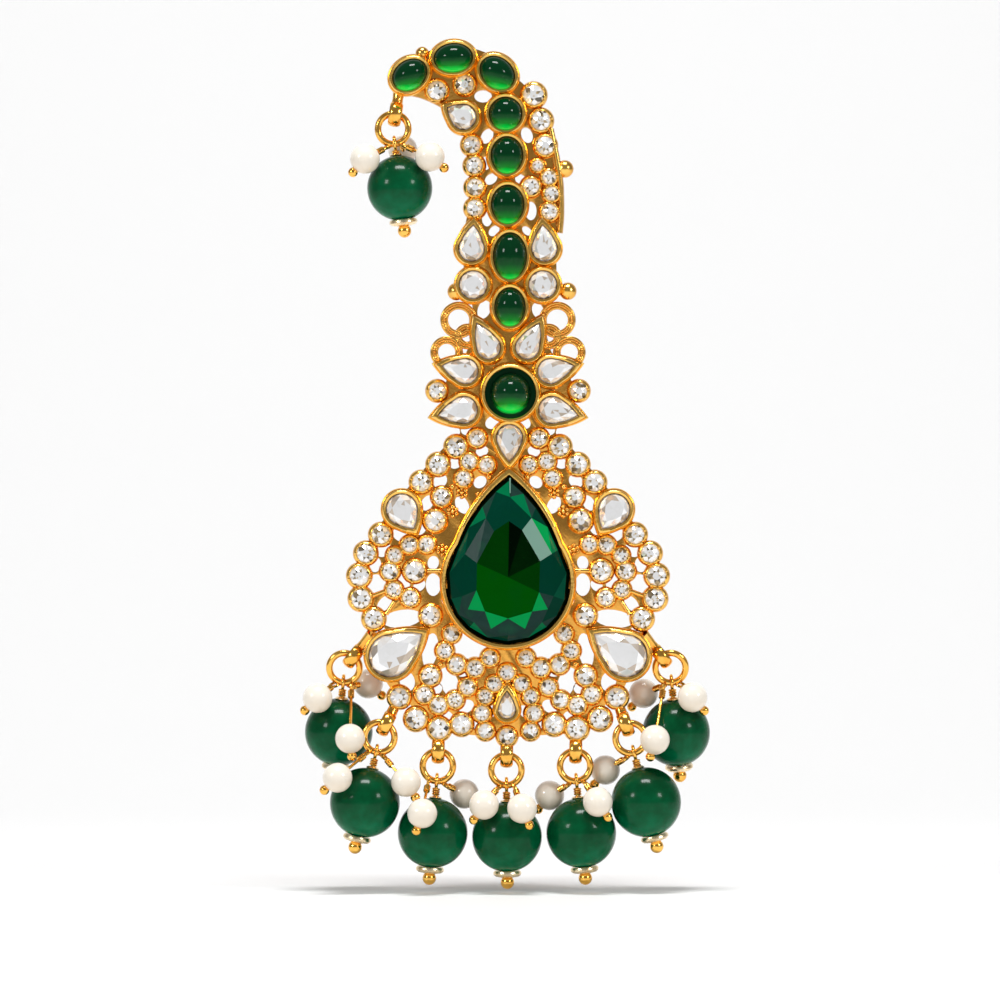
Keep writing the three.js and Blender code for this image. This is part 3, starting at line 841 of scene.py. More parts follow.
# Both glass finishes paint each facet's sparkle and reflections into its colour; their golden middle tone is a
# painted reflection of the gold.
CLEAR_GLASS = CutGlass(name="clear_cut_glass")
PAVE_GLASS = CutGlass(name="pave_cut_glass", dark=(0.07, 0.065, 0.06), middle=(0.62, 0.45, 0.22), cloud=0.1)
PEAR_GLASS = PearGlass()
DOMED_GLASS = DomedGlass()
BEAD_GREEN = GreenBead()
PEARL = PearlLustre()


class Facet(Enum):
    """Where a facet lies on a cut stone."""

    WINDOW = "window"
    INNER = "inner"
    OUTER = "outer"
    WALL = "wall"


@dataclass(frozen=True)
class Brilliant:
    """A faceted crown on an outline, each facet painted light or dark; inside the table, its facets carry painted
    reflections of the pavilion seen through it.
    """

    outline: Outline
    base: float
    girdle: float
    top: float
    mains: int = 8
    table: float = 0.6
    waist: float = 0.82
    seed: int = 1
    # Shares of facets painted dark, down to darkest, and of window facets painted golden as a painted reflection of
    # the gold.
    dark_share: float = 0.22
    star_share: float = 0.2
    painted_gold_reflection_share: float = 0.0
    darkest: float = 0.0

    def sketch_into(self, sketch: Sketch) -> None:
        """Adds the stone to a sketch.

        Args:
            sketch: What the stone is added to.
        """
        m = self.mains
        ring = self.outline.points(4 * m)
        centre = self.outline.centre

        def level(share: float, places: slice, depth: float) -> Points:
            """One ring of corners."""
            return forward(centre + (ring[places] - centre) * share, depth)

        middle_depth = self.girdle + (self.top - self.girdle) * 0.62
        rows = [
            level(0.93, slice(0, None, 2), self.base),
            level(1.0, slice(0, None, 2), self.girdle - 0.06),
            level(1.0, slice(0, None, 2), self.girdle),
            level(self.waist, slice(2, None, 4), middle_depth),
            level(self.table, slice(0, None, 4), self.top),
            level(self.table * 0.5, slice(2, None, 4), self.top),
            forward(centre, self.top),
        ]
        low, wall, edge, waist, table, inner, hub = np.cumsum([0] + [len(r) for r in rows])[:7]
        faces: list[tuple[Facet, Sequence[int]]] = [(Facet.WALL, tuple(reversed(range(2 * m))))]
        for start in (low, wall):
            for i in range(2 * m):
                j = (i + 1) % (2 * m)
                faces.append((Facet.WALL, (start + i, start + j, start + 2 * m + j, start + 2 * m + i)))
        for i in range(m):
            j = (i + 1) % m
            faces += [
                (Facet.INNER, (table + i, waist + i, table + j)),
                (Facet.OUTER, (table + j, waist + i, edge + 2 * j, waist + j)),
                (Facet.OUTER, (waist + i, edge + 2 * i, edge + 2 * i + 1)),
                (Facet.OUTER, (waist + i, edge + 2 * i + 1, edge + 2 * j)),
                (Facet.WINDOW, (inner + i, table + i, table + j)),
                (Facet.WINDOW, (inner + i, table + j, inner + j)),
                (Facet.WINDOW, (hub, inner + i, inner + j)),
            ]
        points = np.vstack(rows)
        chance = random.Random(self.seed)
        reach = np.abs(ring - centre).max()
        shades = []
        for kind, corners in faces:
            middle = points[list(corners)].mean(axis=0)[[0, 2]] - centre
            shades.append(self.shade(kind, middle / reach, chance))
        sketch.add(points, [corners for _, corners in faces], shades)

    def shade(self, kind: Facet, middle: Points, chance: random.Random) -> float:
        """How light a facet is painted, standing in for its sparkle and the reflections in it.

        Args:
            kind: Where the facet lies.
            middle: Its middle, as a share of the stone's reach from its centre.
            chance: The stone's own chance.

        Returns:
            A shade from 0, dark, to 1.
        """
        if kind is Facet.WALL:
            return 0.3
        # Window facets are painted bright, and a few golden: painted reflections.
        if kind is Facet.WINDOW:
            return 0.42 if chance.random() < self.painted_gold_reflection_share else chance.uniform(0.78, 1.0)
        if chance.random() < (self.star_share if kind is Facet.INNER else self.dark_share):
            return self.darkest + chance.uniform(0.0, 0.25)
        return chance.uniform(0.7, 1.0)


class Tone(Enum):
    """The tones that the big pear's facets show, as places on its finish's ramp: its green painted from black shadow
    to bright light, and greys that are painted reflections.
    """

    BLACK = 0.0
    DEEP = 0.1
    SHADED = 0.2
    MOSS = 0.3
    TEAL = 0.4
    SEA = 0.5
    LEAF = 0.6
    BRIGHT = 0.7
    SMOKE = 0.8
    ASH = 0.9
    PALE = 1.0


@dataclass(frozen=True)
class DeepPear:
    """The big pear's cut: a table painted dark, with a belt of facets round it, and a black edge that is a painted
    shadow in the gap inside its seat.

    Corners and tones run anticlockwise from the tip; places are on the chart.
    """

    outline: Outline
    base: float
    girdle: float
    top: float
    hub: tuple[float, float] = (508, 577)
    table: tuple[tuple[float, float], ...] = (
        (509, 521), (494, 531), (477, 563), (476.5, 590), (485, 611), (508, 618), (532, 611), (539, 592), (540, 561),
        (522, 530),
    )
    belt: tuple[tuple[float, float], ...] = (
        (510, 497), (486, 518), (465, 554), (462, 596), (474, 622), (508, 635), (542, 622), (553.5, 596),
        (551.7, 553.6), (531.5, 518),
    )
    # Painted light and shade: the window's tones paint the table darkest at its upper right and lighter towards the
    # bottom; the belt is painted bright green along the bottom where light comes through, with a pale painted
    # reflection at the upper right; the greys among the outer facets are painted reflections.
    window: tuple[Tone, ...] = (
        Tone.SHADED, Tone.SHADED, Tone.MOSS, Tone.MOSS, Tone.MOSS, Tone.MOSS, Tone.MOSS, Tone.SHADED, Tone.DEEP,
        Tone.BLACK,
    )
    belt_painted_tones: tuple[Tone, ...] = (
        Tone.TEAL, Tone.SMOKE, Tone.TEAL, Tone.BRIGHT, Tone.BRIGHT, Tone.BRIGHT, Tone.BRIGHT, Tone.TEAL, Tone.PALE,
        Tone.TEAL,
    )
    outer_painted_tones: tuple[Tone, ...] = (
        Tone.LEAF, Tone.TEAL, Tone.SMOKE, Tone.LEAF, Tone.TEAL, Tone.SEA, Tone.SEA, Tone.TEAL, Tone.TEAL, Tone.SEA,
        Tone.SMOKE, Tone.TEAL, Tone.LEAF, Tone.SMOKE, Tone.TEAL, Tone.SMOKE, Tone.SMOKE, Tone.LEAF, Tone.SMOKE,
        Tone.TEAL, Tone.TEAL, Tone.SEA, Tone.TEAL, Tone.TEAL, Tone.LEAF, Tone.BRIGHT, Tone.TEAL, Tone.SMOKE,
        Tone.LEAF, Tone.SMOKE,
    )
    # The black painted shadow band runs in from the girdle to this share of the outline.
    edge_share: float = 0.945
    glint: tuple[tuple[float, float], ...] = ((509.2, 478), (510.8, 478), (510.6, 493), (509.6, 493))

    def sketch_into(self, sketch: Sketch) -> None:
        """Adds the stone to a sketch.

        Args:
            sketch: What the stone is added to.
        """
        n = len(self.table)
        centre = self.outline.centre
        table = np.array([CHART.place(*p) for p in self.table])
        belt = np.array([CHART.place(*p) for p in self.belt])
        between = (belt + np.roll(belt, -1, axis=0)) / 2
        rim = self.rim(np.stack([belt, between], axis=1).reshape(-1, 2))
        drop = self.top - self.girdle
        belt_depth = self.girdle + 0.66 * drop
        rows = [
            forward(centre + (rim - centre) * 0.93, self.base),
            forward(rim, self.girdle - 0.06),
            forward(rim, self.girdle),
            forward(centre + (rim - centre) * self.edge_share, self.girdle + 0.16 * drop),
            forward(belt, belt_depth),
            forward(table, self.top),
            forward(CHART.place(*self.hub), self.top),
            forward(between, belt_depth),
        ]
        low, wall, edge, crown, waist, flat, hub, middle = np.cumsum([0] + [len(r) for r in rows])[:8]
        faces: list[Sequence[int]] = [tuple(reversed(range(2 * n)))]
        tones = [Tone.BLACK]
        m = 2 * n
        # The skirt, the wall and the edge band are painted black: a painted shadow in the gap between the stone and
        # its seat.
        for first in (low, wall, edge):
            faces += [(first + i, first + (i + 1) % m, first + m + (i + 1) % m, first + m + i) for i in range(m)]
            tones += [Tone.BLACK] * m
        for i in range(n):
            j = (i + 1) % n
            faces.append((hub, flat + i, flat + j))
            tones.append(self.window[i])
            # A bright belt facet along the bottom is painted light, with darker grey painted reflections on each
            # side.
            if self.belt_painted_tones[i] is Tone.BRIGHT:
                faces += [(flat + i, middle + i, flat + j), (flat + i, waist + i, middle + i),
                          (flat + j, middle + i, waist + j)]
                tones += [Tone.BRIGHT, Tone.SMOKE, Tone.SMOKE]
            else:
                faces += [(flat + i, waist + i, middle + i, waist + j, flat + j)]
                tones.append(self.belt_painted_tones[i])
            a, b, c = crown + 2 * i, crown + 2 * i + 1, crown + 2 * j
            faces += [(waist + i, a, b), (waist + i, b, waist + j, middle + i), (waist + j, b, c)]
            tones += self.outer_painted_tones[3 * i:3 * i + 3]
        sketch.add(np.vstack(rows), faces, [tone.value for tone in tones])
        glint = np.array([CHART.place(*p) for p in self.glint])
        high = self.girdle + np.array([0.34, 0.34, 0.7, 0.7]) * drop
        sketch.add(forward(glint, high), [(0, 3, 2, 1)], Tone.PALE.value)

    def rim(self, aims: Points) -> Points:
        """Places on the girdle, each in the direction of an aim from the stone's middle.

        Args:
            aims: Where the corners inside it lie.

        Returns:
            One place for each aim; the first is the tip.
        """
        ring = self.outline.points(360)
        from_centre = ring - self.outline.centre
        angles = np.arctan2(from_centre[:, 1], from_centre[:, 0])
        places = []
        for aim in aims - self.outline.centre:
            apart = np.abs((angles - math.atan2(aim[1], aim[0]) + math.pi) % (2 * math.pi) - math.pi)
            places.append(ring[int(apart.argmin())])
        places[0] = ring[0]
        return np.array(places)


@dataclass(frozen=True)
class Dome:
    """A cabochon on an outline."""

    outline: Outline
    crown: float
    base: float = DEPTH.seat_floor + 0.12
    girdle: float = DEPTH.girdle
    sides: int = 48
    levels: int = 14
    brim: float = 1.0

    def sketch_into(self, sketch: Sketch) -> None:
        """Adds the stone to a sketch. A brim under 1 stands the dome that share in from a flat ring.

        Args:
            sketch: What the stone is added to.
        """
        ring = self.outline.points(self.sides)
        centre = self.outline.centre
        rings = [forward(ring, self.base)]
        if self.brim < 1:
            flat = self.girdle - 0.35
            rings += [forward(ring, flat), forward(centre + (ring - centre) * (self.brim + 0.02), flat + 0.02)]
        for i in range(self.levels):
            angle = i / self.levels * math.pi / 2
            share = math.cos(angle) * self.brim
            rings.append(forward(centre + (ring - centre) * share,
                                 self.girdle + (self.crown - self.girdle) * math.sin(angle)))
        sketch.loft(rings)


@dataclass(frozen=True)
class Seat:
    """The gold cup round a main stone, with a rounded rim and a step round its outside."""

    outline: Outline
    top: float
    wall: float = 0.4
    clearance: float = 0.1
    sides: int = 72

    def sketch_into(self, sketch: Sketch) -> None:
        """Adds the cup to a sketch.

        Args:
            sketch: What the cup is added to.
        """
        outer, top = self.clearance + self.wall, self.top
        profile = [
            (outer + 0.05, DEPTH.small_foot), (outer + 0.08, top - 1.0), (outer + 0.06, top - 0.78),
            (outer - 0.01, top - 0.66), (outer - 0.09, top - 0.72), (outer - 0.12, top - 0.6),
            (outer - 0.12, top - 0.2), (outer - 0.17, top - 0.05), (outer - 0.25, top),
            (self.clearance - 0.06, top - 0.04), (self.clearance - 0.1, top - 0.14), (self.clearance, top - 0.34),
            (self.clearance, DEPTH.seat_floor), (-0.3, DEPTH.seat_floor - 0.1), (-0.3, DEPTH.small_foot),
        ]
        sketch.hoop([forward(self.outline.points(self.sides, grow), depth) for grow, depth in profile])


@dataclass(frozen=True)
class StoneTable:
    """Where every stone sits on the chart."""

    cabochons: tuple[Outline, ...] = (
        Outline("cabochon_hook_tip", 409.7, 74.2, 18.5, 14.5, 35),
        Outline("cabochon_hook_top", 453.2, 57.2, 19.5, 14.4, 5),
        Outline("cabochon_hook_bend", 497.3, 72.3, 19, 15, -40),
        Outline("cabochon_neck_round", 505.6, 113, 16.5, 16.5),
        Outline("cabochon_neck_upper", 507, 154.6, 16, 18.6),
        Outline("cabochon_neck_middle", 507.7, 204, 16.4, 19.5),
        Outline("cabochon_neck_lower", 510, 255.6, 16.7, 23.4),
        Outline("cabochon_neck_foot", 510, 306.6, 15.3, 19.4),
    )
    rosette: Outline = Outline("cabochon_rosette", 510.5, 393, 25.5)
    hero: Outline = Outline("centre_pear", 508, 582, 62.5, tip=(509, 475), bulge=0.075)
    single_clear: tuple[Outline, ...] = (
        Outline("clear_pear_hook", 463.5, 116.5, 13, tip=(447, 107)),
        Outline("clear_pear_waist", 509.5, 437.5, 13.5, tip=(509.5, 462)),
        Outline("clear_pear_hem", 507, 710, 9.2, tip=(507, 691)),
    )
    paired_clear: tuple[Outline, ...] = (
        Outline("clear_pear_neck", 471.5, 248.2, 13.2, tip=(473.5, 224)),
        Outline("clear_round_neck", 473.2, 284.5, 14.4),
        Outline("petal_upper", 488.6, 347, 12.4, tip=(476.5, 322.5)),
        Outline("petal_middle", 465.6, 371, 13, tip=(441.5, 365.5)),
        Outline("petal_lower", 463.8, 409.8, 14, tip=(437.5, 415.5)),
        Outline("clear_pear_shoulder", 401.7, 509.4, 16, tip=(414, 529)),
        Outline("clear_pear_hip", 390, 656, 21.6, tip=(422, 634)),
    )
    small_single: tuple[tuple[float, float, float], ...] = (
        (436.7, 89.6, 10), (464.6, 83.5, 9.7), (533.8, 94, 11), (540.9, 119.7, 10.5), (545.4, 144.7, 10),
        (537.7, 165, 6), (549.4, 176.6, 7.5), (531, 186, 9), (551.8, 193, 7.7), (549.7, 211, 8.5),
        (471.7, 144, 9), (474.2, 164.6, 9), (475, 186.5, 9), (474.9, 207.5, 9), (507, 673, 8), (507, 737, 8.7),
    )
    small_paired: tuple[tuple[float, float, float], ...] = (
        (437, 390.5, 9), (477, 438, 8.5), (456, 446.5, 10), (438, 464.4, 10), (421, 482.3, 9.8), (469, 461.5, 8),
        (487, 465, 7.8), (463.5, 478.5, 8), (441.5, 497, 9), (435, 520.8, 10.5), (380.5, 534.8, 10),
        (365.5, 553.5, 10), (359, 576, 10.5), (360.5, 599, 10.5), (373.5, 619.2, 10), (409.3, 545, 8),
        (426.5, 544.6, 8), (394.5, 555.5, 7.5), (389.8, 571.5, 8.5), (414.5, 571.2, 10.5), (393.7, 590, 7.8),
        (410, 598.2, 8.5), (430.4, 615.8, 10), (451.5, 634.2, 8), (444.5, 651.2, 8), (456.5, 665, 8.5),
        (475, 668.5, 8.5), (490, 658.2, 8), (430, 676.3, 9.5), (424, 695, 8.5), (438.5, 705.5, 8.5),
        (455, 700.6, 8), (467.5, 687.6, 8), (399, 697.7, 10), (415.8, 719.5, 10.5), (439, 729.4, 10.5),
        (461.5, 725, 10), (485.5, 731.6, 8), (482, 713.8, 8), (485.3, 697.1, 7.5), (494.5, 684.5, 7.7),
    )

    def clear(self) -> list[Outline]:
        """Every clear main stone, the paired ones on both sides."""
        both = [
            s for o in self.paired_clear
            for s in (replace(o, name=f"{o.name}_left"), o.mirrored(f"{o.name}_right"))
        ]
        return [*self.single_clear, *both]

    def small(self) -> Iterator[Outline]:
        """Every small round stone."""
        other = [(2 * CHART.axis - a, d, r) for a, d, r in self.small_paired]
        for i, (across, down, radius) in enumerate([*self.small_single, *self.small_paired, *other]):
            yield Outline(f"small_{i}", across, down, radius)


STONES = StoneTable()


@dataclass(frozen=True)
class MainStones:
    """The big pear, the cabochons and the clear stones, each in its own seat."""

    stones: StoneTable = STONES
    clear_mains: int = 8

    def build(self) -> list[bpy.types.Object]:
        """Builds a piece for each main stone.

        Returns:
            The pieces.
        """
        pieces = []
        base = DEPTH.seat_floor + 0.12
        hero = Sketch()
        DeepPear(self.stones.hero, base, DEPTH.hero_girdle, DEPTH.hero_table).sketch_into(hero)
        pieces.append(self.set_stone(hero, self.stones.hero.name, Slot.GREEN_STONE, PEAR_GLASS, None))
        domes = [Dome(self.stones.rosette, DEPTH.rosette_crown, brim=0.8)]
        domes += [Dome(outline, DEPTH.cabochon_crown) for outline in self.stones.cabochons]
        for dome in domes:
            outline, sketch = dome.outline, Sketch()
            dome.sketch_into(sketch)
            pieces.append(self.set_stone(sketch, outline.name, Slot.GREEN_STONE, DOMED_GLASS, 60.0))
        for i, outline in enumerate(self.stones.clear()):
            sketch = Sketch()
            # The shares choose facets with painted dark and golden reflections.
            stone = Brilliant(
                outline, base, DEPTH.girdle, DEPTH.clear_table, self.clear_mains, table=0.6, seed=20 + i,
                dark_share=0.26, star_share=0.35, painted_gold_reflection_share=0.04, darkest=0.22)
            stone.sketch_into(sketch)
            pieces.append(self.set_stone(sketch, outline.name, Slot.CLEAR_STONE, CLEAR_GLASS, None))
        return pieces

    @staticmethod
    def set_stone(sketch: Sketch, node: str, slot: Slot, finish: Finish,
                  smooth: float | None) -> bpy.types.Object:
        """Makes a stone's piece, which stands for its plain solid.

        Args:
            sketch: The stone.
            node: The plain solid's name.
            slot: The record's slot.
            finish: The material's maker.
            smooth: As in Sketch.piece.

        Returns:
            The piece.
        """
        piece = sketch.piece(f"{node}_cut", slot, finish, smooth)
        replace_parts(piece, node)
        return piece


@dataclass(frozen=True)
class SmallStones:
    """The field of small round stones, with their collets and the grains that hold them."""

    stones: StoneTable = STONES
    wall: float = 0.34
    grain: float = 0.17
    grains: int = 5
    sides: int = 24

    def build(self) -> list[bpy.types.Object]:
        """Builds the stones, and their collets with the grains.

        Returns:
            The two pieces.
        """
        chance = random.Random(11)
        cut, metal = Sketch(), Sketch()
        for i, outline in enumerate(self.stones.small()):
            # The shares choose facets with painted dark and golden reflections.
            Brilliant(replace(outline, radius=outline.radius * 0.95), 1.0, DEPTH.small_girdle, DEPTH.small_table,
                      mains=8, table=0.42, waist=0.78, seed=100 + i, dark_share=0.12, star_share=0.62,
                      painted_gold_reflection_share=0.1).sketch_into(cut)
            wall, top = self.wall, DEPTH.small_rim
            profile = [
                (wall - 0.03, DEPTH.small_foot), (wall, DEPTH.small_foot + 0.2), (wall, top - 0.62),
                (wall * 0.9, top - 0.42), (wall * 0.66, top - 0.22), (wall * 0.34, top - 0.06), (0.0, top),
                (-0.07, top - 0.05), (-0.05, DEPTH.small_girdle - 0.25), (-0.12, 0.95), (-0.12, DEPTH.small_foot),
            ]
            metal.hoop([forward(outline.points(self.sides, grow), depth) for grow, depth in profile])
            start = chance.uniform(0, 2 * math.pi)
            for k in range(self.grains):
                angle = start + (k + chance.uniform(-0.12, 0.12)) / self.grains * 2 * math.pi
                reach = outline.radius * CHART.unit + 0.05
                flat = outline.centre + reach * np.array([math.cos(angle), math.sin(angle)])
                metal.ball(forward(flat, DEPTH.small_rim - 0.02)[0], self.grain, 8, (1, 1.25, 1))
        return [
            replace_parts(cut.piece("small_stones", Slot.CLEAR_STONE, PAVE_GLASS, None), "cast_frame"),
            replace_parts(metal.piece("small_collets", Slot.GOLD, CAST_GOLD), "cast_frame"),
        ]


@dataclass(frozen=True)
class Gap:
    """A gap cut through the plate, on the chart."""

    across: float
    down: float
    long: float
    wide: float
    turn: float

    def mirrored(self) -> "Gap":
        """The same gap on the other side of the chart's axis."""
        return replace(self, across=2 * CHART.axis - self.across, turn=180 - self.turn)


@dataclass(frozen=True)
class Web:
    """The pierced plate that carries everything."""

    rim: tuple[tuple[float, float], ...] = (
        (396, 70), (414, 56), (452, 44), (492, 54), (516, 76), (536, 96), (548, 122), (553, 160), (556, 200),
        (556, 240), (556, 285), (546, 312), (551, 350), (574, 385), (572, 412), (556, 432), (572, 448), (594, 472),
        (614, 496), (636, 526), (652, 556), (657, 588), (646, 618), (641, 645), (632, 672), (620, 696), (604, 720),
        (575, 733), (540, 736), (508, 738), (475, 736), (438, 732), (412, 720), (395, 696), (380, 672), (371, 645),
        (368, 618), (358, 588), (363, 556), (379, 526), (401, 496), (421, 472), (443, 448), (460, 432), (446, 412),
        (444, 385), (467, 350), (473, 312), (465, 280), (463, 240), (469, 200), (468, 160), (462, 130), (446, 110),
        (424, 98), (400, 90),
    )
    neck_gaps: tuple[Gap, ...] = (
        Gap(483, 95, 14, 10, 0), Gap(487, 135, 13, 9, 60), Gap(527, 134, 13, 9, 110), Gap(486, 162, 11, 7, 90),
        Gap(491, 178, 11, 8, 40), Gap(521, 179, 11, 8, 130), Gap(531, 210, 15, 9, 90), Gap(487, 218, 12, 8, 90),
        Gap(494, 230, 10, 7, 45), Gap(527, 230, 9, 6, 135), Gap(484, 309, 15, 10, 70), Gap(538, 310, 13, 9, 110),
    )
    body_gaps: tuple[Gap, ...] = (
        Gap(493, 422, 13, 10, 30), Gap(467, 430, 10, 8, 0), Gap(482, 451, 10, 8, 20), Gap(456, 462, 12, 9, 45),
        Gap(440, 481, 12, 10, 45), Gap(427, 503, 13, 9, 60), Gap(462, 505, 15, 10, 120), Gap(480, 482, 11, 9, 40),
        Gap(383, 550, 13, 10, 45), Gap(375, 565, 12, 9, 80), Gap(376, 584, 15, 15, 0), Gap(403, 583, 15, 11, 90),
        Gap(384, 604, 15, 9, 50), Gap(433, 563, 11, 9, 80), Gap(433, 585, 18, 12, 90), Gap(402, 619, 32, 14, 8),
        Gap(430, 651, 28, 12, 80), Gap(469, 646, 30, 21, 165), Gap(449, 683, 25, 14, 110), Gap(407, 682, 16, 12, 100),
        Gap(466, 707, 13, 10, 30), Gap(445, 717, 12, 9, 0), Gap(400, 535, 13, 10, 150), Gap(421, 528, 12, 8, 60),
        Gap(474, 724, 9, 8, 0), Gap(492, 712, 10, 7, 70), Gap(405, 709, 10, 8, 30), Gap(437, 690, 10, 7, 45),
        Gap(462, 673, 10, 7, 0), Gap(419, 586, 11, 8, 40), Gap(447, 598, 15, 9, 90), Gap(378, 634, 13, 8, 40),
    )
    per_side: int = 6
    gap_sides: int = 18
    gap_growth: float = 1.26
    bevel: float = 0.2

    def build(self) -> bpy.types.Object:
        """Builds the plate, cuts its gaps and rounds its edges.

        Returns:
            The piece.
        """
        rim = smooth_loop(np.array([CHART.place(a, d) for a, d in self.rim]), self.per_side)[::-1]
        plate = self.block([rim], 0.0, DEPTH.plate, "web_blank")
        outlines = []
        for gap in [*self.neck_gaps, *self.body_gaps, *(g.mirrored() for g in self.body_gaps)]:
            size = CHART.unit / 2 * self.gap_growth
            centre = CHART.place(gap.across, gap.down)
            outlines.append(ellipse(centre, gap.long * size, gap.wide * size, self.gap_sides, gap.turn))
        cutter = self.block(outlines, -1.0, DEPTH.plate + 1.0, "web_cutter")
        cut = plate.modifiers.new("gaps", "BOOLEAN")
        cut.operation, cut.object, cut.solver = "DIFFERENCE", cutter, "MANIFOLD"
        round_off = plate.modifiers.new("edges", "BEVEL")
        round_off.width, round_off.segments, round_off.limit_method = self.bevel * MM, 3, "ANGLE"
        round_off.angle_limit = math.radians(50)
        graph = bpy.context.evaluated_depsgraph_get()
        mesh = bpy.data.meshes.new_from_object(plate.evaluated_get(graph))
        for used in (plate, cutter):
            bpy.data.objects.remove(used)
        piece = dress(mesh, "frame_web", CAST_GOLD)
        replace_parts(piece, "cast_frame")
        return piece

    @staticmethod
    def block(outlines: Sequence[Points], back: float, front: float, name: str) -> bpy.types.Object:
        """An object of upright-walled blocks.

        Args:
            outlines: One outline for each block.
            back: The depth that they start at.
            front: The depth that they end at.
            name: The object's name.

        Returns:
            The object.
        """
        sketch = Sketch()
        for outline in outlines:
            sketch.loft([forward(outline, back), forward(outline, front)])
        mesh = bpy.data.meshes.new(name)
        mesh.from_pydata(np.vstack(sketch.points) * MM, [], sketch.faces)
        work = bmesh.new()
        work.from_mesh(mesh)
        bmesh.ops.recalc_face_normals(work, faces=work.faces)
        work.to_mesh(mesh)
        work.free()
        made = bpy.data.objects.new(name, mesh)
        bpy.context.scene.collection.objects.link(made)
        return made


@dataclass(frozen=True)
class Ornaments:
    """The raised gold work on the plate: seats, beaded scrolls, studs, rail, lugs and pin."""

    stones: StoneTable = STONES
    scrolls: tuple[tuple[float, float, float], ...] = ((458.5, 319.5, 18.5), (446.5, 352, 16.5), (467, 336, 13))
    scroll_band: float = 0.84
    scroll_wire: float = 0.17
    scroll_grain: float = 0.12
    flower_reach: float = 0.46
    flower_grain: float = 0.24
    studs: tuple[tuple[float, float, float], ...] = (
        (565, 167.8, 8.9), (568, 290.5, 8.9), (456, 291, 8.9), (422, 52, 6.9))
    paired_grains: tuple[tuple[float, float, float], ...] = (
        (446, 571, 3), (424, 633, 3.2), (440, 665, 3),
        (498, 455, 3), (489, 477, 3), (452, 487, 3), (478, 494, 2.6), (468, 520, 2.6),
    )
    paired_flowers: tuple[tuple[float, float], ...] = ((461.7, 492.7), (452.5, 511.7), (442, 550))
    paired_bars: tuple[tuple[float, float, float, float], ...] = (
        (427, 571, 441, 571), (394, 602, 386, 614.6), (372, 596, 388, 590))
    rail: tuple[tuple[float, float], ...] = (
        (551, 128), (554, 142), (557, 156), (559.5, 170), (561, 184), (561.5, 200), (561.5, 216), (560, 232))
    pin_radius: float = 0.55
    pin_length: float = 34.0
    pin_head: float = 1.1
    lug_spacing: float = 22.0
    lug_height: float = 2.2
    lug_wall: float = 0.7
    pin_clearance: float = 0.3

    def build(self) -> list[bpy.types.Object]:
        """Builds the seats, the scrolls with the studs, the lugs and the pin.

        Returns:
            The pieces.
        """
        seats = Sketch()
        for outline in [*self.stones.cabochons, *self.stones.clear()]:
            Seat(outline, DEPTH.seat_top).sketch_into(seats)
        Seat(self.stones.rosette, DEPTH.rosette_top).sketch_into(seats)
        Seat(self.stones.hero, DEPTH.hero_top, wall=0.46, sides=140).sketch_into(seats)
        pieces = [seats.piece("stone_seats", Slot.GOLD, CAST_GOLD)]
        pieces.append(self.relief().piece("scrolls_and_studs", Slot.GOLD, CAST_GOLD))
        pieces.append(self.lugs().piece("pin_lugs", Slot.GOLD, WIRE_GOLD))
        for metal in pieces:
            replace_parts(metal, "cast_frame")
        pin = Sketch()
        top = self.pin_length / 2
        neck = self.pin_head * 0.6
        profile = [(0.02, -top), (self.pin_radius * 0.6, -top + 2.2 * self.pin_radius),
                   (self.pin_radius, -top + 4 * self.pin_radius), (self.pin_radius, top - self.pin_head)]
        profile += [(self.pin_head * math.sin(a) + 0.001, top - neck * 0.2 - self.pin_head * math.cos(a) * 0.9)
                    for a in np.linspace(0.6, math.pi - 0.01, 9)]
        pin.turned(profile, 24)
        piece = pin.piece("back_pin_wire", Slot.GOLD, WIRE_GOLD)
        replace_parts(piece, "back_pin")
        return [*pieces, piece]

    def relief(self) -> Sketch:
        """The scrolls, studs, grains and the neck's rail."""
        sketch = Sketch()
        paired = [*self.scrolls, *((2 * CHART.axis - a, d, r) for a, d, r in self.scrolls)]
        for across, down, radius in paired:
            self.scroll_into(sketch, CHART.place(across, down), radius * CHART.unit)
        for across, down, radius in self.studs:
            sketch.ball(forward(CHART.place(across, down), DEPTH.edge)[0], radius * CHART.unit, 20)
        grains = [*self.paired_grains, *((2 * CHART.axis - a, d, r) for a, d, r in self.paired_grains)]
        for across, down, radius in grains:
            sketch.ball(forward(CHART.place(across, down), DEPTH.plate + 0.1)[0], radius * CHART.unit, 12)
        for across, down in self.paired_flowers:
            for place in (across, 2 * CHART.axis - across):
                self.flower_into(sketch, CHART.place(place, down))
        for a, b, c, d in self.paired_bars:
            for ends in (((a, b), (c, d)), ((2 * CHART.axis - a, b), (2 * CHART.axis - c, d))):
                sketch.tube(forward(np.array([CHART.place(*end) for end in ends]), DEPTH.plate + 0.1), 0.24, 10)
        rail = np.array([CHART.place(a, d) for a, d in self.rail])
        t = np.linspace(0, len(rail) - 1, 24)
        path = np.column_stack([np.interp(t, np.arange(len(rail)), rail[:, k]) for k in (0, 1)])
        sketch.tube(forward(path, 1.5), 0.27, 10)
        sketch.tube(forward(path - [0.18, 0], 0.75), 0.52, 10)
        stud = CHART.place(*self.studs[0][:2])
        sketch.tube(forward(np.array([stud - [0.75, -0.1], stud]), [1.2, DEPTH.edge]), 0.45, 12)
        return sketch

    def flower_into(self, sketch: Sketch, centre: Points) -> None:
        """Adds a little flower of grains.

        Args:
            sketch: What it is added to.
            centre: Its middle, across and up.
        """
        sketch.ball(forward(centre, DEPTH.plate + 0.25)[0], self.flower_grain, 10)
        for place in ellipse(centre, self.flower_reach, self.flower_reach, 6):
            sketch.ball(forward(place, DEPTH.plate + 0.12)[0], self.flower_grain, 10)

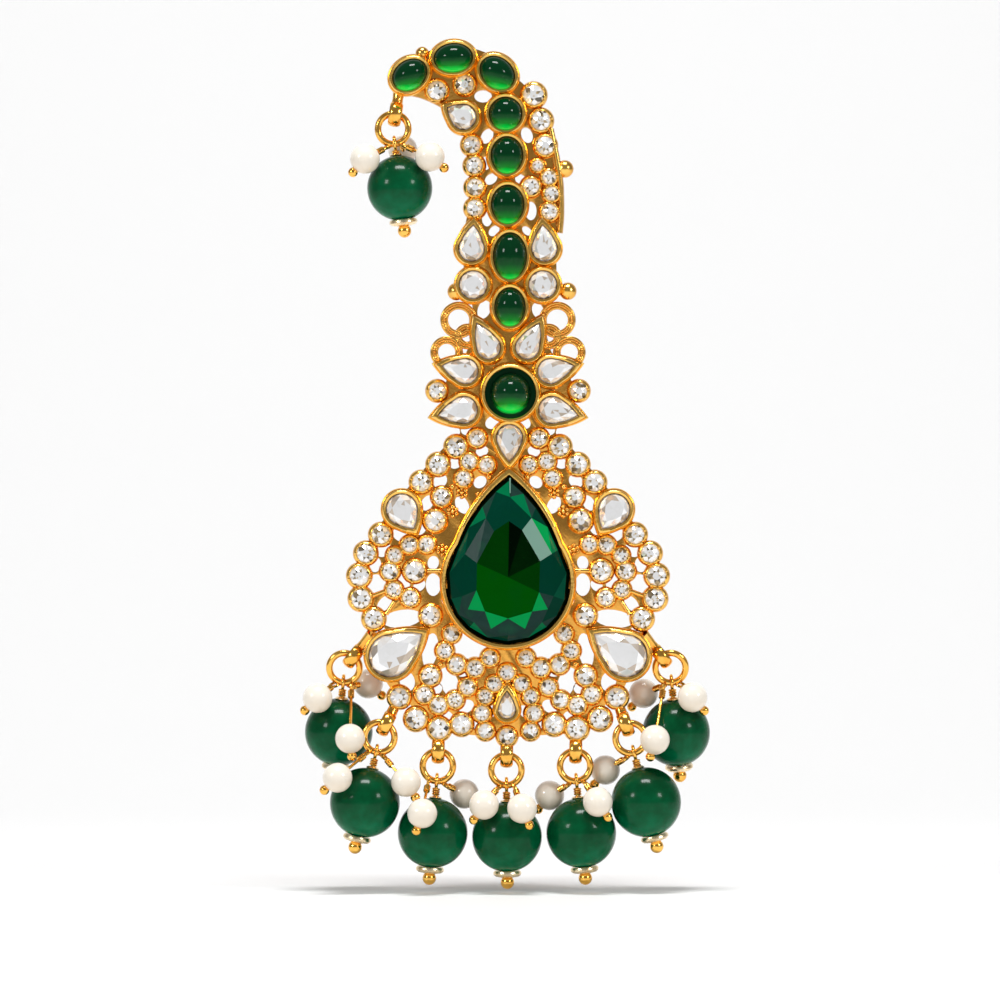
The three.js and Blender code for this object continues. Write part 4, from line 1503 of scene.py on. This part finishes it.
    def scroll_into(self, sketch: Sketch, centre: Points, radius: float) -> None:
        """Adds an open loop: a low band with a wire along each edge and a row of grains between them.

        Args:
            sketch: What the loop is added to.
            centre: Its middle, across and up.
            radius: Its outer radius.
        """
        away = np.array([0, 1, 0])
        middle = radius - self.scroll_band / 2
        sketch.ring(forward(centre, 0.8)[0], away, middle, (self.scroll_band / 2 - 0.04, 0.55), 48, 12)
        for reach in (radius - self.scroll_wire, radius - self.scroll_band + self.scroll_wire):
            sketch.ring(forward(centre, 1.24)[0], away, reach, self.scroll_wire, 48, 10)
        count = round(2 * math.pi * middle / (2.3 * self.scroll_grain))
        for place in ellipse(centre, middle, middle, count):
            sketch.ball(forward(place, 1.36)[0], self.scroll_grain, 8)

    def lugs(self) -> Sketch:
        """The two lugs that hold the pin on the frame's back."""
        sketch = Sketch()
        outer = self.pin_radius + self.pin_clearance + self.lug_wall
        inner = self.pin_radius + self.pin_clearance
        half = self.lug_height / 2
        for middle in (-self.lug_spacing / 2, self.lug_spacing / 2):
            profile = [(inner, -half), (outer - 0.15, -half), (outer, -half + 0.15), (outer, half - 0.15),
                       (outer - 0.15, half), (inner, half)]
            sketch.hoop(turned_rings(profile, 32, middle))
            foot = np.array([[-outer, -inner - 0.1], [outer, -inner - 0.1], [outer, -DEPTH.pin_to_frame - 0.2],
                             [-outer, -DEPTH.pin_to_frame - 0.2]])
            sketch.loft([np.column_stack([foot, np.full(4, middle + z)]) for z in (-half, half)])
        return sketch


@dataclass(frozen=True)
class Drop:
    """One drop: the chart places of its ring, its bead and its loop's root, and how it hangs."""

    name: str
    ring: tuple[float, float]
    bead: tuple[float, float]
    root: tuple[float, float]
    pearls: tuple[tuple[float, float, Side], ...]
    forward: float = 0.0
    lean_back: float = 0.0
    bead_radius: float = 3.7
    ring_radius: float = 1.6
    ring_wire: float = 0.36
    loop_radius: float = 1.02
    loop_wire: float = 0.36
    loop_half_width: float = 0.69
    eye_radius: float = 0.72
    eye_wire: float = 0.19
    bore: float = 0.42
    pearl_radius: float = 1.57
    pearl_ball: float = 0.52
    pearl_clearance: float = 0.22
    pearl_least_depth: float = 2.3
    washer_radius: float = 1.48
    end_ball: float = 0.72
    end_ball_drop: float = 1.1
    wire: float = 0.16
    pin_spread: float = 26.0
    wraps: int = 4

    @property
    def centre(self) -> Points:
        """The ring's middle."""
        return forward(CHART.place(*self.ring), DEPTH.edge + self.forward)[0]

    @property
    def loop_direction(self) -> Points:
        """The direction from the ring's middle to the loop's root."""
        flat = CHART.place(*self.root) - CHART.place(*self.ring)
        flat = flat / np.hypot(*flat)
        return np.array([flat[0], 0, flat[1]])

    @property
    def pivot(self) -> Points:
        """The middle of the cast loop, which the ring's wire runs through."""
        return self.centre + self.loop_direction * self.ring_radius

    @property
    def hang(self) -> tuple[float, float]:
        """How far the bead's middle is from the ring's, and the lean to one side."""
        flat = CHART.place(*self.bead) - CHART.place(*self.ring)
        return float(np.hypot(*flat)), math.atan2(flat[0], -flat[1])

    def matrix(self) -> Matrix:
        """Where the drop's own frame lies: its origin at the ring's middle and its beads along -Z."""
        pivot = Vector(self.pivot)
        back = Matrix.Rotation(math.radians(self.lean_back), 4, "X")
        aside = Matrix.Rotation(-self.hang[1], 4, "Y")
        return Matrix.Translation(pivot) @ back @ Matrix.Translation(Vector(self.centre) - pivot) @ aside

    def pearl_places(self) -> list[Points]:
        """Each pearl's middle in the drop's own frame, deep enough to lie clear of the bead."""
        length, lean = self.hang
        reach = self.bead_radius + self.pearl_radius + self.pearl_clearance
        c, s = math.cos(-lean), math.sin(-lean)
        places = []
        for across, down, side in self.pearls:
            flat = CHART.place(across, down) - CHART.place(*self.ring)
            x, z = c * flat[0] - s * flat[1], s * flat[0] + c * flat[1]
            offset = math.hypot(x, z + length)
            depth = max(math.sqrt(max(reach**2 - offset**2, 0)), self.pearl_least_depth)
            places.append(np.array([x, -side.value * depth, z]))
        return places

    def build(self) -> list[bpy.types.Object]:
        """Builds the ring, the bead, the pins, the washer and the pearls.

        Returns:
            The pieces.
        """
        matrix = self.matrix()
        ring = Sketch()
        ring.ring(np.zeros(3), np.array([0, 1, 0]), self.ring_radius, self.ring_wire, 56, 16)
        ring_piece = ring.moved(matrix).piece(f"ring_{self.name}", Slot.GOLD, WIRE_GOLD)
        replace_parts(ring_piece, f"jump_ring_{self.name}")
        bead = self.bead_sketch().moved(matrix).piece(
            f"bead_{self.name}_glass", Slot.GREEN_BEAD, BEAD_GREEN, 50.0)
        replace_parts(bead, f"bead_{self.name}")
        pins = self.pin_sketch().moved(matrix).piece(f"pins_{self.name}", Slot.GOLD, WIRE_GOLD)
        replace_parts(pins, f"pearl_spray_{self.name}")
        washer = self.washer_sketch().moved(matrix).piece(f"washer_{self.name}", Slot.PALE_GOLD, PALE_GOLD)
        pearls = Sketch()
        for place in self.pearl_places():
            pearls.ball(place, self.pearl_radius, 32)
        made = pearls.moved(matrix).piece(f"pearls_{self.name}", Slot.PEARL, PEARL)
        for extra in (washer, made):
            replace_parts(extra, f"pearl_spray_{self.name}")
        return [ring_piece, bead, pins, washer, made]

    def bead_sketch(self) -> Sketch:
        """The bored bead in the drop's own frame."""
        sketch = Sketch()
        start = math.asin(self.bore / self.bead_radius)
        profile = [
            (self.bead_radius * math.sin(a), -self.hang[0] - self.bead_radius * math.cos(a))
            for a in np.linspace(start, math.pi - start, 40)
        ]
        sketch.hoop(turned_rings(profile, 56))
        return sketch

    def washer_sketch(self) -> Sketch:
        """The cup washers over and under the bead in the drop's own frame."""
        sketch = Sketch()
        top = -self.hang[0] - self.bead_radius + 0.12
        r = self.washer_radius
        sketch.turned([
            (0.24, top - 0.7), (r * 0.5, top - 0.7), (r * 0.84, top - 0.6), (r, top - 0.38), (r, top - 0.16),
            (r * 0.93, top), (r * 0.8, top - 0.06), (0.24, top - 0.2)], 40)
        crown = -self.hang[0] + self.bead_radius
        sketch.turned([(0.24, crown + 0.02), (0.66, crown - 0.02), (0.7, crown + 0.06), (0.5, crown + 0.2),
                       (0.24, crown + 0.24)], 24)
        return sketch

    def pin_sketch(self) -> Sketch:
        """The head pin with its eye and end ball, and the pearls' pins, in the drop's own frame."""
        sketch = Sketch()
        length = self.hang[0]
        eye = np.array([0, 0, -self.ring_radius])
        hub = eye - [0, 0, self.eye_radius]
        sketch.ring(eye, np.array([1, 0, 0]), self.eye_radius, self.eye_wire, 28, 10)
        ball = np.array([0, 0, -length - self.bead_radius - self.end_ball_drop])
        sketch.tube(np.array([hub, ball]), 0.22, 10)
        sketch.ball(ball, self.end_ball, 20)
        for turn in range(3):
            sketch.ring(hub - [0, 0, 0.12 + 0.26 * turn], np.array([0.05, 0.1, 1]), 0.3, 0.13, 18, 8)
        for place in self.pearl_places():
            self.pearl_pin_into(sketch, place)
        return sketch

    def pearl_pin_into(self, sketch: Sketch, place: Points) -> None:
        """Adds a pearl's head pin: its ball, its wire, a few turns of wrap and the eye on the jump ring.

        Args:
            sketch: What the pin is added to.
            place: The pearl's middle, in the drop's own frame.
        """
        outward = np.array([place[0], 0, place[2]])
        outward /= np.linalg.norm(outward)
        sketch.ball(place + outward * (self.pearl_radius + self.pearl_ball * 0.62), self.pearl_ball, 16)
        spread = math.radians(self.pin_spread) * (1 if place[0] > 0 else -1)
        grip = self.ring_radius * np.array([math.sin(spread), 0, -math.cos(spread)])
        eye = grip + self.eye_radius * 0.62 * np.array([math.sin(spread), 0.35 * np.sign(place[1]), -1])
        start = eye + (place - eye) / np.linalg.norm(place - eye) * self.eye_radius * 0.72
        along = (place - start) / np.linalg.norm(place - start)
        sketch.ring(eye, np.cross(along, [0, 1, 0.2]), self.eye_radius * 0.72, self.wire, 24, 8)
        end = place + outward * (self.pearl_radius + 0.2)
        sketch.tube(np.array([start, place, end]), self.wire, 8)
        free = max(float(np.linalg.norm(place - start)) - self.pearl_radius, 0.4)
        for turn in range(self.wraps):
            at = start + along * (0.14 + 0.24 * turn)
            if 0.24 * turn < free:
                sketch.ring(at, along + [0.1, 0, 0.05], 0.24, 0.12, 16, 6)

    def loop_into(self, sketch: Sketch) -> None:
        """Adds the cast loop that carries the drop.

        Args:
            sketch: What the loop is added to.
        """
        up = self.loop_direction
        axis = np.cross(up, [0, 1, 0])
        sketch.ring(self.pivot, axis, self.loop_radius, (self.loop_wire, self.loop_half_width), 36, 14)
        crown = self.pivot + up * (self.loop_radius + 0.1)
        root = forward(CHART.place(*self.root), DEPTH.plate / 2)[0]
        t = np.linspace(0, 1, 8)[:, None]
        sketch.tube(crown + (root - crown) * t, 0.56 + 0.14 * np.abs(t[:, 0] - 0.3), 16)


@dataclass(frozen=True)
class Fringe:
    """The eight drops and the cast loops that they hang in."""

    drops: tuple[Drop, ...] = (
        Drop("tip", (392.8, 127.7), (399.4, 187), (399, 88),
             ((365, 159, Side.FRONT), (430, 157, Side.FRONT), (402, 147, Side.BACK)), bead_radius=3.45),
        Drop("fringe_1", (343.5, 669), (337.5, 735), (372, 634),
             ((317, 695, Side.FRONT), (350, 731, Side.FRONT), (367, 690, Side.BACK)),
             forward=-1.5, lean_back=10, bead_radius=3.6),
        Drop("fringe_2", (379, 738), (364.5, 803.5), (398, 700),
             ((338, 776.8, Side.FRONT), (406, 781.8, Side.FRONT)), forward=0.3),
        Drop("fringe_3", (437.6, 767), (432.5, 834), (438.5, 729),
             ((422.6, 812, Side.FRONT), (464, 796, Side.BACK))),
        Drop("fringe_4", (506.4, 771), (507, 838), (507, 737),
             ((484, 804.2, Side.FRONT), (522, 807.5, Side.FRONT))),
        Drop("fringe_5", (575.4, 767), (581.5, 834), (576.5, 729),
             ((597.5, 801, Side.FRONT), (550, 797.5, Side.BACK))),
        Drop("fringe_6", (631, 739), (646.5, 803), (617, 700), ((606, 771.8, Side.BACK),), forward=0.3),
        Drop("fringe_7", (671.5, 669), (677.5, 735.5), (643, 634),
             ((693, 694, Side.FRONT), (655, 733, Side.FRONT), (645, 700, Side.BACK)),
             forward=-1.5, lean_back=10, bead_radius=3.6),
    )

    def build(self) -> list[bpy.types.Object]:
        """Builds every drop and the cast loops.

        Returns:
            The pieces.
        """
        loops = Sketch()
        pieces = []
        for drop in self.drops:
            pieces += drop.build()
            drop.loop_into(loops)
        return [*pieces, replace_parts(loops.piece("cast_loops", Slot.GOLD, WIRE_GOLD), "cast_frame")]


@dataclass(frozen=True)
class Studio:
    """The floor and backdrop, the lights and the camera."""

    photo_units: float = 1000.0
    camera_distance: float = 0.62
    front_depth: float = 3.0
    sensor: float = 36.0
    floor_below: float = 0.4

    def build(self) -> None:
        """Builds the stage, the lights and the camera."""
        low = CAD_BOX[0][2] - self.floor_below * MM
        self.sweep(low)
        self.light("top", (0.0, -0.15, 0.62), (0.26, 0.13), 3.7)
        self.light("left", (-0.50, -0.44, 0.25), (0.13, 0.13), 1.25)
        self.light("right", (0.50, -0.44, 0.25), (0.13, 0.13), 1.25)
        self.world(0.24)
        self.camera()
        bpy.context.scene.view_settings.view_transform = "Standard"

    def sweep(self, low: float) -> None:
        """Adds the floor that curves up into the backdrop.

        Args:
            low: The floor's height, in metres.
        """
        sketch = Sketch()
        start, bend, reach = 150.0, 250.0, 1500.0
        floor = low / MM
        profile = [(-900.0, floor), (start, floor)]
        turns = np.linspace(0.1, 1.57, 12)
        profile += [(start + bend * math.sin(a), floor + bend * (1 - math.cos(a))) for a in turns]
        profile.append((start + bend, floor + reach))
        points = np.array([[x, y, z] for y, z in profile for x in (-reach, reach)])
        faces = [(2 * i, 2 * i + 1, 2 * i + 3, 2 * i + 2) for i in range(len(profile) - 1)]
        sketch.add(points, faces)
        mesh = bpy.data.meshes.new("sweep")
        mesh.from_pydata(np.vstack(sketch.points) * MM, [], sketch.faces)
        mesh.shade_smooth()
        tree = Tree("pale_sweep")
        mesh.materials.append(tree.surface(Base_Color=(0.84, 0.84, 0.84), Roughness=0.7))
        made = bpy.data.objects.new("sweep", mesh)
        bpy.context.scene.collection.objects.link(made)

    @staticmethod
    def light(name: str, place: tuple[float, float, float], size: tuple[float, float], watts: float) -> None:
        """Adds a soft light that looks at the ornament.

        Args:
            name: The light's name.
            place: Where it stands, in metres.
            size: Its width and height, in metres.
            watts: Its power.
        """
        data = bpy.data.lights.new(name, "AREA")
        data.shape, data.size, data.size_y, data.energy = "RECTANGLE", size[0], size[1], watts
        made = bpy.data.objects.new(name, data)
        made.location = place
        made.rotation_euler = (-Vector(place)).to_track_quat("-Z", "Y").to_euler()
        bpy.context.scene.collection.objects.link(made)

    @staticmethod
    def world(strength: float) -> None:
        """Fills the room with even light.

        Args:
            strength: The light's strength.
        """
        world = bpy.data.worlds.new("room")
        world.use_nodes = True
        background = world.node_tree.nodes["Background"]
        background.inputs["Color"].default_value = (1, 1, 1, 1)
        background.inputs["Strength"].default_value = strength
        bpy.context.scene.world = world

    def camera(self) -> None:
        """Adds the camera, level and square on, at the photograph's scale."""
        data = bpy.data.cameras.new("camera")
        view_width = self.photo_units * CHART.unit * MM
        data.sensor_width = self.sensor
        data.lens = self.sensor * self.camera_distance / view_width
        middle = CHART.place(self.photo_units / 2, self.photo_units / 2)
        made = bpy.data.objects.new("camera", data)
        front = (DEPTH.pin_to_frame + self.front_depth) * MM
        made.location = (middle[0] * MM, -self.camera_distance - front, middle[1] * MM)
        made.rotation_euler = (math.pi / 2, 0, 0)
        data.clip_start = 0.01
        bpy.context.scene.collection.objects.link(made)
        bpy.context.scene.camera = made


def main() -> None:
    """Builds the ornament and the studio."""
    logging.basicConfig(level=logging.INFO, format="%(message)s")
    Studio().build()
    pieces = [Web().build()]
    for part in (SmallStones(), MainStones(), Ornaments(), Fringe()):
        pieces += part.build()
    for piece in pieces:
        LOG.info("%s: %d faces", piece.name, len(piece.data.polygons))


if __name__ == "__main__":
    main()
